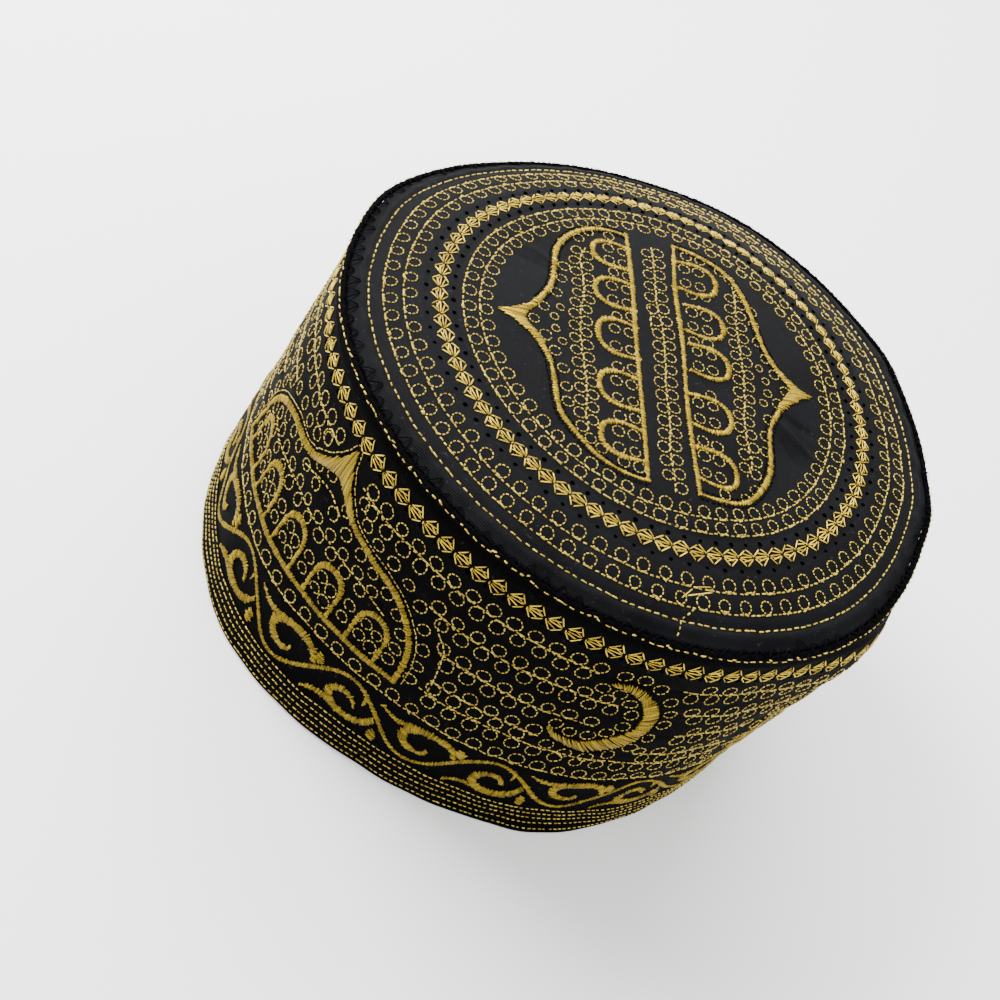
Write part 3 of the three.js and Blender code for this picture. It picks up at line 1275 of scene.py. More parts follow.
@dataclass
class ClothShells:
    """The cap's four cloth shells, each a closed section carried round the axis."""

    segments: int = 432
    crown_rows: int = 108
    under_rows: int = 20
    ridge_sides: int = 14
    band_rows: int = 78
    inner_rows: int = 12
    hem_rows: int = 26
    clear: float = 0.05
    band_clear: float = 0.32
    hem_clear: float = 0.28
    hem_soft: float = 0.8
    hem_back: float = 0.5
    grain_angle: float = 32.5
    map_radius: float = 90.0
    # Height of the hem's inner face and how far it is set in, below its lip.
    hem_inside: tuple = ((7.0, 0.1), (4.0, 0.1), (1.4, 0.0), (0.4, -0.15), (0.0, -0.8))

    def angles(self) -> np.ndarray:
        """Section angles as a column."""
        return (-180.0 + 360.0 * np.arange(self.segments) / self.segments)[:, None]

    def crown(self) -> bpy.types.Object:
        """Crown: under face from the middle out, a half-round edge, upper face back in."""
        angle = self.angles()
        half = FORM.cloth / 2.0
        edge = FORM.seam_radius(angle) + RIDGE.proud - 2 * RIDGE.size - self.clear
        last = (edge - half) / FORM.seam_radius(angle)
        share = last * (np.arange(self.under_rows) + 1.0) / self.under_rows
        under = CROWN.polar_surface(share, angle) - np.array([0.0, 0.0, FORM.cloth])
        level = FORM.crown_height(last, angle) + CROWN.relief(last, angle) - half
        bow = np.radians(np.array([-60.0, -30.0, 0.0, 30.0, 60.0]))[None, :]
        radius = FORM.crown_radius_at(last, angle)
        rim = polar(radius + half * np.cos(bow), angle, level + half * np.sin(bow))
        share = last * (1.0 - np.arange(self.crown_rows) / self.crown_rows)
        upper = CROWN.polar_surface(share, angle)
        sections = np.concatenate([under, rim, upper], axis=1)
        quads = ring_quads(self.segments, sections.shape[1], False)
        count = self.segments * sections.shape[1]
        top = CROWN.polar_surface(np.zeros(1), np.zeros(1))
        points = np.vstack([sections.reshape(-1, 3), top - [[0.0, 0.0, FORM.cloth]], top])
        here = np.arange(self.segments) * sections.shape[1]
        after = np.roll(here, -1)
        low = np.column_stack([np.full(self.segments, count), after, here])
        end = sections.shape[1] - 1
        high = np.column_stack([np.full(self.segments, count + 1), here + end, after + end])
        piece = put_mesh("crown_cloth_shell", points, quads, np.vstack([low, high]))
        order = np.concatenate([quads.ravel(), low.ravel(), high.ravel()])
        grain = np.radians(self.grain_angle)
        across = points @ np.array([np.cos(grain), np.sin(grain), 0.0])
        along = points @ np.array([-np.sin(grain), np.cos(grain), 0.0])
        add_map(piece, np.column_stack([across, along])[order])
        return dress(piece, Finish.CROWN_TWILL, "crown_cloth", "crown_disc")

    def ridge(self) -> bpy.types.Object:
        """Ridge: a round section along the seam."""
        turn_at = (360.0 * np.arange(self.ridge_sides) / self.ridge_sides)[None, :]
        spots = np.stack(np.broadcast_arrays(self.angles(), turn_at), axis=-1)
        return self.ring("seam_ridge_cord", RIDGE.surface(spots), "crown_seam")

    def band(self) -> bpy.types.Object:
        """Band: outer face upwards, inner face downwards, ending just clear of its neighbours."""
        angle = self.angles()
        low = FORM.hem_height + self.band_clear
        high = FORM.seam_level(angle) - RIDGE.size - self.clear
        height = low + (high - low) * np.linspace(0.0, 1.0, self.band_rows)[None, :]
        share = height / FORM.seam_level(angle)
        outer = polar(BAND.radius(share, angle), angle, height)
        height = high + (low - high) * np.linspace(0.0, 1.0, self.inner_rows)[None, :]
        share = height / FORM.seam_level(angle)
        inner = polar(FORM.band_radius(share, angle) - FORM.cloth, angle, height)
        return self.ring("side_band_shell", np.concatenate([outer, inner], axis=1), "side_band")

    def hem(self) -> bpy.types.Object:
        """Hem: a rounded lower edge, the outer face upwards, the lip, the inner face downwards."""
        angle = self.angles()
        level = FORM.seam_level(angle)
        soft = self.hem_soft
        top = FORM.hem_height + self.hem_clear
        height = soft + (top - soft) * np.linspace(0.0, 1.0, self.hem_rows)[None, :]
        radius = BAND.radius(height / level, angle)
        low = np.radians(np.array([-90.0, -60.0, -30.0]))[None, :]
        edge = polar(radius[:, :1] - soft + soft * np.cos(low), angle, soft + soft * np.sin(low))
        outer = polar(radius, angle, np.broadcast_to(height, radius.shape))
        back = FORM.cloth + self.hem_back
        inner_height, inset = np.array([(top, 0.0), *self.hem_inside]).T[:, None, :]
        inner_radius = FORM.band_radius(inner_height / level, angle) - back - inset
        inner = polar(inner_radius, angle, np.broadcast_to(inner_height, inner_radius.shape))
        return self.ring("rim_hem_roll", np.concatenate([edge, outer, inner], axis=1), "rim_hem")

    def ring(self, name: str, sections: np.ndarray, node: str) -> bpy.types.Object:
        """Makes one closed ring shell of band cloth in place of a node.

        Args:
            name: The piece's name.
            sections: Points, a row for each section.
            node: The node that it replaces.

        Returns:
            The piece.
        """
        quads = ring_quads(self.segments, sections.shape[1], True)
        piece = put_mesh(name, sections.reshape(-1, 3), quads, np.zeros((0, 3), int))
        add_map(piece, ring_map(sections, True, self.map_radius).reshape(-1, 2))
        return dress(piece, Finish.BAND_CLOTH, "band_cloth", node)

    def build(self) -> None:
        """Makes all four shells."""
        self.crown()
        self.ridge()
        self.band()
        self.hem()


def diamonds(work: ThreadWork, centres: np.ndarray, outward: np.ndarray, wide: float, tall: float) -> None:
    """Diamonds of strands from corner to corner.

    Each strand is a row of a short table: two ends as shares of the width and the height.

    Args:
        work: Where the stitches are laid.
        centres: Chart places.
        outward: Direction of the upper tip in the cloth.
        wide: Width in millimetres.
        tall: Height in millimetres.
    """
    strands = np.array(
        [
            (-0.49, 0.02, 0.1, 0.5),
            (0.1, 0.5, 0.5, 0.0),
            (-0.5, -0.12, -0.08, -0.5),
            (-0.08, -0.5, 0.5, -0.1),
            (-0.49, -0.02, 0.5, -0.04),
            (-0.45, 0.06, 0.33, 0.24),
            (-0.48, -0.08, 0.26, -0.28),
            (-0.2, 0.22, 0.47, -0.02),
            (-0.5, 0.0, -0.46, -0.18),
        ]
    )
    ends = strands.reshape(1, -1, 2) * np.array([wide, tall])
    ends = ends + 0.07 * work.dice.standard_normal((len(centres), ends.shape[1], 2))
    up = np.broadcast_to(unit(outward), (len(centres), 2))[:, None, :]
    side = np.stack([up[..., 1], -up[..., 0]], axis=-1)
    offset = ends[..., :1] * side + ends[..., 1:] * up
    _, _, grain = work.chart.frame_at(centres)
    spots = centres[:, None, :] + offset / grain[:, None, :]
    first = spots[:, 0::2].reshape(-1, 2)
    second = spots[:, 1::2].reshape(-1, 2)
    work.join(first, second, THREAD.thin, 0.2)


def ring_places(level: float, count: int, start: float) -> np.ndarray:
    """Evenly spaced places on a ring of the crown."""
    angle = np.radians(start + 360.0 * np.arange(count) / count)
    return level * np.column_stack([np.cos(angle), np.sin(angle)])


def ring_path(level: float, start: float) -> np.ndarray:
    """A dense closed ring of the crown."""
    angle = np.radians(start + np.linspace(0.0, 360.0, 721))
    return level * np.column_stack([np.cos(angle), np.sin(angle)])


def thinned(spots: np.ndarray, grain: np.ndarray, gap: float) -> np.ndarray:
    """Marks places that keep clear of all earlier ones.

    Args:
        spots: Chart places, the most wanted first.
        grain: Millimetres per chart unit.
        gap: The least distance in millimetres.

    Returns:
        True for each place that may stay.
    """
    away = np.linalg.norm((spots[:, None] - spots[None]) * grain, axis=-1)
    return ~np.tril(away < gap, -1).any(axis=1)


@dataclass
class CrownRings:
    """Running lines, rings of loops and the diamond chain round the crown."""

    start: float = -61.0
    chain_level: float = 0.718
    chain_count: int = 84
    diamond_wide: float = 4.5
    diamond_tall: float = 4.7
    lines: tuple = ((0.922, 2.15), (0.881, 1.6), (0.823, 1.6), (0.648, 1.6), (0.597, 1.6))
    loop_rings: tuple = ((0.881, 79, 0.0), (0.823, 76, 1.4), (0.648, 61, 0.6), (0.597, 60, 2.2))
    jumps: tuple = (
        (((0.452, -0.803), (0.466, -0.853)), 1.5, 1.1),
        (((0.452, -0.798), (0.467, -0.748)), 1.5, 1.1),
        (((0.418, -0.76), (0.437, -0.694), (0.495, -0.645)), 5.6, 5.4),
        (((0.421, -0.747), (0.502, -0.651)), 10.0, 9.8),
    )

    def build(self) -> None:
        """Lays and sews the rings."""
        work = ThreadWork(CROWN, 11)
        for level, pitch in self.lines:
            work.run(ring_path(level, self.start), Running(pitch, 0.84 * pitch, 0.44, 0.08))
        for path, pitch, length in self.jumps:
            work.run(smooth(path), Running(pitch, length))
        for level, count, lag in self.loop_rings:
            stand = THREAD.crown_ring / FORM.crown_radius
            centres = ring_places(level - stand, count, self.start + lag)
            work.loops(centres, -centres, THREAD.crown_ring, 18.0)
            feet = ring_places(level, count, self.start + lag)
            work.knots(feet, np.column_stack([-feet[:, 1], feet[:, 0]]))
        dress(work.sew("crown_ring_stitches"), Finish.GOLD_RUN, "gold_thread")
        chain = ThreadWork(CROWN, 12)
        centres = ring_places(self.chain_level, self.chain_count, self.start)
        diamonds(chain, centres, centres, self.diamond_wide, self.diamond_tall)
        dress(chain.sew("crown_diamond_chain"), Finish.GOLD_CHAIN, "gold_thread")


@dataclass
class HalfMedallion:
    """One half of the crown's medallion. Places are x and y shares of the crown radius."""

    spine: tuple
    rim: tuple
    rim_after: tuple
    cusp_outer: tuple
    cusp_inner: tuple
    arches: tuple
    turned: bool

    ARCH = (
        (-0.055, 0.0, 1.2),
        (-0.064, 0.045, 1.5),
        (-0.064, 0.085, 1.8),
        (-0.05, 0.12, 2.0),
        (-0.02, 0.137, 2.1),
        (0.02, 0.134, 2.1),
        (0.046, 0.11, 1.9),
        (0.057, 0.075, 1.7),
        (0.057, 0.035, 1.5),
        (0.055, 0.0, 1.4),
    )
    INNER_LOOPS = ((-0.03, 0.03), (-0.03, 0.08), (0.03, 0.03), (0.03, 0.08))
    LINE = (
        (-0.405, 0.22), (-0.4, 0.17), (-0.37, 0.125), (-0.345, 0.085), (-0.32, 0.045), (-0.3, 0.0),
        (-0.285, -0.05), (-0.26, -0.1), (-0.235, -0.15), (-0.205, -0.2), (-0.175, -0.25),
        (-0.15, -0.29), (-0.125, -0.335), (-0.1, -0.385), (-0.075, -0.44), (-0.045, -0.48),
    )
    RIM_LOOPS = (
        (-0.375, 0.345), (-0.435, 0.3), (-0.447, 0.245), (-0.45, 0.19), (-0.44, 0.135),
        (-0.415, 0.085), (-0.393, 0.025), (-0.375, -0.05), (-0.375, -0.14), (-0.373, -0.21),
        (-0.375, 0.205), (-0.315, -0.24), (-0.265, -0.275), (-0.215, -0.32), (-0.175, -0.38),
        (-0.145, -0.43), (-0.095, -0.47), (0.012, -0.505), (0.085, -0.495), (0.13, -0.475),
        (-0.03, -0.5),
    )
    SMALL_LOOPS = ((-0.335, -0.1), (-0.33, -0.15), (-0.305, -0.19), (-0.265, -0.22))
    GAPS = (
        (-0.24, 0.215), (-0.285, 0.195), (-0.15, 0.06), (-0.187, 0.025), (-0.05, -0.14),
        (-0.09, -0.17), (0.04, -0.32), (0.0, -0.35),
    )

    def facing(self) -> float:
        """One for the half as drawn, minus one for the half turned about the middle."""
        return -1.0 if self.turned else 1.0

    def arch_places(self, mid: np.ndarray, scale: float, table: np.ndarray) -> np.ndarray:
        """Places of an arch.

        Args:
            mid: The middle of its foot.
            scale: Its size along the spine.
            table: Shares along the spine and away from it.

        Returns:
            Chart places.
        """
        ends = np.array(self.spine)[[0, -1], :2]
        along = self.facing() * unit(ends[1] - ends[0])
        away = np.array([along[1], -along[0]])
        return mid + scale * table[:, :1] * along + table[:, 1:2] * away

    def lay(self, satin: ThreadWork, lines: ThreadWork, dark: ThreadWork) -> None:
        """Lays the half's satin, its loops and its dark outline.

        Args:
            satin: The satin's work.
            lines: The running lines' work.
            dark: The dark outline's work.
        """
        slim = np.array([1.0, 1.0, 0.84])
        for path in (self.spine, self.rim, self.rim_after):
            satin.satin(smooth(path) * slim, Satin(lean=0.25, zigzag=0.25))
        cusp = Satin(rise=0.4, ragged=0.18)
        satin.between(smooth(self.cusp_outer), smooth(self.cusp_inner), cusp)
        table = smooth(self.ARCH, 10)
        for x, y, scale in self.arches:
            places = self.arch_places(np.array([x, y]), scale, table)
            path = np.column_stack([places, 0.8 * table[:, 2]])
            satin.satin(path, Satin(lean=0.2, zigzag=0.25))
        self.lay_line(lines)
        for path in (self.rim, self.rim_after):
            edge = smooth(path)
            for side in (1.35, -1.35):
                dark.run(dark.beside(edge, side), EDGING)

    def lay_line(self, lines: ThreadWork) -> None:
        """Lays the half's running line and its loops, none over another."""
        face = self.facing()
        path = smooth(np.array(self.LINE) * face)
        lines.run(path, GUIDE)
        centres = []
        outward = []
        for side in (1.0, -1.0):
            along, track = lines.walk(lines.beside(path, side * THREAD.crown_ring))
            places = np.arange(2.5, along[-1] - 1.0, 4.3)
            centres.append(lines.at(along, track, places)[:, :2])
            outward.append(centres[-1] - lines.at(along, path, places)[:, :2])
        for x, y, scale in self.arches:
            spots = self.arch_places(np.array([x, y]), scale, np.array(self.INNER_LOOPS))
            centres.append(spots)
            outward.append(spots - np.array([x, y]))
        spots = face * np.array(self.RIM_LOOPS + self.GAPS)
        centres = np.vstack(centres + [spots])
        outward = np.vstack(outward + [spots])
        stay = thinned(centres, np.full(2, FORM.crown_radius), 3.3)
        lines.loops(centres[stay], outward[stay], 1.62)
        spots = face * np.array(self.SMALL_LOOPS)
        lines.loops(spots, spots, 1.2)


LEFT_HALF = HalfMedallion(
    spine=(
        (-0.335, 0.41, 1.5),
        (-0.215, 0.2, 1.75),
        (-0.08, -0.045, 1.7),
        (0.05, -0.28, 1.65),
        (0.172, -0.5, 1.6),
    ),
    rim=(
        (-0.335, 0.4, 1.0),
        (-0.37, 0.385, 1.1),
        (-0.42, 0.347, 1.4),
        (-0.455, 0.295, 1.9),
        (-0.475, 0.24, 2.1),
        (-0.48, 0.18, 2.1),
        (-0.47, 0.13, 2.0),
        (-0.445, 0.075, 1.9),
        (-0.42, 0.02, 1.8),
        (-0.405, -0.03, 1.7),
        (-0.4, -0.08, 1.8),
        (-0.4, -0.13, 2.0),
    ),
    rim_after=(
        (-0.305, -0.285, 2.0),
        (-0.265, -0.317, 1.9),
        (-0.235, -0.355, 1.7),
        (-0.205, -0.4, 1.8),
        (-0.175, -0.447, 1.9),
        (-0.14, -0.485, 2.1),
        (-0.095, -0.507, 1.9),
        (-0.05, -0.522, 1.7),
        (0.0, -0.535, 1.5),
        (0.05, -0.536, 1.3),
        (0.1, -0.527, 1.1),
        (0.15, -0.508, 0.9),
        (0.175, -0.495, 0.8),
    ),
    cusp_outer=(
        (-0.412, -0.13), (-0.415, -0.165), (-0.428, -0.2), (-0.447, -0.232), (-0.475, -0.268),
        (-0.43, -0.265), (-0.39, -0.268), (-0.35, -0.278), (-0.31, -0.298),
    ),
    cusp_inner=(
        (-0.388, -0.13), (-0.392, -0.165), (-0.396, -0.195), (-0.396, -0.212), (-0.392, -0.222),
        (-0.382, -0.234), (-0.362, -0.243), (-0.335, -0.252), (-0.3, -0.272),
    ),
    arches=(
        (-0.265, 0.3, 0.95),
        (-0.175, 0.145, 1.0),
        (-0.08, -0.025, 1.2),
        (0.017, -0.218, 1.12),
        (0.107, -0.393, 1.02),
    ),
    turned=False,
)
RIGHT_HALF = HalfMedallion(
    spine=(
        (-0.185, 0.49, 1.5),
        (-0.095, 0.3, 1.7),
        (0.025, 0.1, 1.7),
        (0.13, -0.1, 1.65),
        (0.215, -0.25, 1.6),
        (0.315, -0.415, 1.5),
    ),
    rim=(
        (-0.185, 0.49, 1.0),
        (-0.14, 0.505, 1.5),
        (-0.09, 0.515, 1.9),
        (-0.04, 0.518, 2.0),
        (0.01, 0.513, 2.1),
        (0.06, 0.49, 2.2),
        (0.11, 0.452, 2.2),
        (0.155, 0.407, 2.0),
        (0.195, 0.362, 1.9),
        (0.24, 0.315, 1.9),
        (0.29, 0.28, 2.0),
        (0.33, 0.262, 2.1),
    ),
    rim_after=(
        (0.39, 0.12, 1.9),
        (0.39, 0.05, 1.7),
        (0.4, 0.0, 1.6),
        (0.415, -0.04, 1.7),
        (0.437, -0.09, 1.9),
        (0.455, -0.14, 2.0),
        (0.462, -0.19, 2.0),
        (0.458, -0.25, 1.9),
        (0.445, -0.3, 1.7),
        (0.42, -0.34, 1.5),
        (0.385, -0.37, 1.3),
        (0.35, -0.393, 1.1),
        (0.312, -0.413, 0.9),
    ),
    cusp_outer=(
        (0.33, 0.275), (0.37, 0.267), (0.41, 0.264), (0.457, 0.275), (0.437, 0.242), (0.423, 0.21),
        (0.41, 0.165), (0.402, 0.12),
    ),
    cusp_inner=(
        (0.325, 0.251), (0.352, 0.244), (0.372, 0.237), (0.38, 0.228), (0.382, 0.215), (0.38, 0.19),
        (0.378, 0.16), (0.38, 0.12),
    ),
    arches=(
        (-0.12, 0.37, 1.1),
        (-0.02, 0.21, 1.0),
        (0.065, 0.067, 1.0),
        (0.155, -0.128, 1.05),
        (0.255, -0.307, 1.05),
    ),
    turned=True,
)


@dataclass
class CrownMedallion:
    """The crown's split medallion and the line of loops between its halves."""

    line: tuple = (
        (-0.24, 0.42), (-0.2, 0.352), (-0.17, 0.292), (-0.14, 0.237), (-0.11, 0.182), (-0.05, 0.1),
        (0.0, 0.01), (0.03, -0.05), (0.06, -0.115), (0.1, -0.185), (0.14, -0.26), (0.17, -0.33),
        (0.22, -0.41), (0.255, -0.47),
    )
    jump: tuple = ((-0.128, 0.158), (-0.105, 0.12), (-0.085, 0.08), (-0.062, 0.06))

    def build(self) -> None:
        """Lays and sews the medallion."""
        satin = ThreadWork(CROWN, 21, (0.08, 0.5, 0.92))
        lines = ThreadWork(CROWN, 22)
        dark = ThreadWork(CROWN, 23)
        for half in (LEFT_HALF, RIGHT_HALF):
            half.lay(satin, lines, dark)
        path = smooth(self.line)
        lines.run(path, GUIDE)
        lines.run(smooth(self.jump), Running(1.8, 1.4))
        for side, start in ((1.0, 2.0), (-1.0, 3.0)):
            along, track = lines.walk(lines.beside(path, side * THREAD.crown_ring))
            places = np.arange(start, along[-1] - 1.0, 4.4)
            centres = lines.at(along, track, places)
            lines.loops(centres, centres - lines.at(along, path, places), THREAD.crown_ring)
        dress(satin.sew("crown_medallion_satin"), Finish.CROWN_SATIN, "gold_thread")
        dress(lines.sew("crown_medallion_lines"), Finish.GOLD_RUN, "gold_thread")
        dress(dark.sew("crown_medallion_edging"), Finish.BLACK_THREAD, "black_thread")


MEDALLION_CENTRES = (-121.5, -1.5, 118.5)
CRESCENT_CENTRES = (-61.5, 58.5, 178.5)
MEDALLION_EDGE = np.array(
    [
        (-27.4, 0.375), (-27.2, 0.46), (-26.6, 0.53), (-25.0, 0.585), (-22.3, 0.64), (-18.0, 0.685),
        (-12.8, 0.7), (-8.8, 0.72), (-5.0, 0.77), (-2.0, 0.83), (0.0, 0.9), (2.0, 0.84),
        (4.0, 0.79), (6.5, 0.745), (9.5, 0.715), (16.5, 0.7), (20.0, 0.685), (23.2, 0.64),
        (25.4, 0.585), (26.8, 0.53), (27.4, 0.46), (27.5, 0.375),
    ]
)
SIDE_GRAIN = np.array([1.6, 90.0])


def apart(spots: np.ndarray, centre: float, edge: np.ndarray) -> np.ndarray:
    """Distance in millimetres from places to a motif's edge, and 0 inside it.

    The side repeats every 120 degrees, so places are first folded to the motif's own repeat. A
    place is inside where a level ray crosses the edge an odd number of times.

    Args:
        spots: Chart places on the side.
        centre: The motif's angle.
        edge: Its closed outline about that angle.

    Returns:
        One distance for each place.
    """
    folded = np.column_stack([(spots[:, 0] - centre + 60.0) % 120.0 - 60.0, spots[:, 1]])
    place = (folded * SIDE_GRAIN)[:, None, :]
    start = (edge * SIDE_GRAIN)[None]
    end = np.roll(start, -1, axis=1)
    span = end - start
    share = ((place - start) * span).sum(-1) / (span**2).sum(-1)
    nearest = start + np.clip(share, 0.0, 1.0)[..., None] * span
    distance = np.linalg.norm(place - nearest, axis=-1).min(axis=1)
    rises = (start[..., 1] > place[..., 1]) != (end[..., 1] > place[..., 1])
    height = np.where(span[..., 1] == 0.0, 1e-9, span[..., 1])
    cross = start[..., 0] + (place[..., 1] - start[..., 1]) * span[..., 0] / height
    inside = (rises & (place[..., 0] < cross)).sum(axis=1) % 2 == 1
    return np.where(inside, 0.0, distance)


def level_path(level: float) -> np.ndarray:
    """A dense level path round the side."""
    angle = np.linspace(-180.0, 180.0, 722)
    return np.column_stack([angle, np.full(len(angle), level)])


def both_sides(places: Sequence[Sequence[float]]) -> np.ndarray:
    """Places and their mirror images about angle 0."""
    rows = np.array(places, float)
    return np.vstack([rows, rows * np.array([-1.0, 1.0])])


@dataclass
class SideRows:
    """Running rows of the side with loops above and below, and the diamond chain over them."""

    rows: tuple = (
        (0.811, 1.4, (-7.3, 8.0), 0.0, 0.0),
        (0.697, 4.4, (-1.1, 11.4), 0.0, 0.0),
        (0.582, 7.0, (-1.5, 13.0), 0.0, 8.0),
        (0.472, 7.0, (-8.6, 9.2), 0.0, 0.0),
        (0.417, 6.0, (0.0, 0.0), None, 0.0),
        (0.308, 0.0, (0.0, 0.0), 0.0, None),
    )
    loops_round: int = 94
    diamonds_round: int = 104
    diamond_level: float = 0.912
    diamond_wide: float = 4.6
    diamond_tall: float = 5.9
    jump: tuple = ((27.5, 0.7), (28.2, 0.65), (30.5, 0.61), (31.5, 0.56), (32.2, 0.49), (32.4, 0.43))

    def clear(self, medallion: float, gap: tuple) -> Callable[[np.ndarray], np.ndarray]:
        """Says which places lie clear of the medallion and outside a row's gap at the crescent."""

        def wanted(spots: np.ndarray) -> np.ndarray:
            """True where a place may be sewn."""
            away = (spots[:, 0] - CRESCENT_CENTRES[0] + 60.0) % 120.0 - 60.0
            keep = (away <= gap[0]) | (away >= gap[1])
            if medallion == 0.0:
                return keep
            return keep & (apart(spots, MEDALLION_CENTRES[0], MEDALLION_EDGE) > medallion)

        return wanted

    def build(self) -> None:
        """Lays and sews the rows and the diamonds."""
        work = ThreadWork(BAND, 31)
        pitch = 360.0 / self.loops_round
        stand = 1.08 * THREAD.side_ring / FORM.seam_height
        for index, (level, medallion, gap, above, below) in enumerate(self.rows):
            keep = self.clear(medallion, gap)
            work.run(level_path(level), Running(1.4, 1.36, THREAD.strand, 0.13), keep)
            for more, way, lag in ((above, 1.0, 0.0), (below, -1.0, 0.5)):
                if more is None:
                    continue
                wider = self.clear(medallion + 1.0 * (medallion > 0.0), (gap[0] - more, gap[1]))
                angle = -180.0 + pitch * (np.arange(self.loops_round) + lag + 0.13 * index)
                centres = np.column_stack([angle, np.full(len(angle), level + way * stand)])
                centres = centres[wider(centres)]
                work.loops(centres, np.array([0.0, way]), THREAD.side_ring, 18.0)
                feet = np.column_stack([centres[:, 0], np.full(len(centres), level)])
                work.knots(feet, np.array([1.0, 0.0]))
        for centre in MEDALLION_CENTRES:
            path = smooth(np.array(self.jump) + np.array([centre, 0.0]))
            work.run(path, Running(1.7, 1.4))
        dress(work.sew("side_row_stitches"), Finish.GOLD_RUN, "gold_thread")
        chain = ThreadWork(BAND, 32)
        angle = -180.0 + 360.0 * (np.arange(self.diamonds_round) + 0.1) / self.diamonds_round
        centres = np.column_stack([angle, np.full(len(angle), self.diamond_level)])
        up = np.array([0.0, 1.0])
        diamonds(chain, centres, up, self.diamond_wide, self.diamond_tall)
        dress(chain.sew("side_diamond_chain"), Finish.GOLD_CHAIN, "gold_thread")


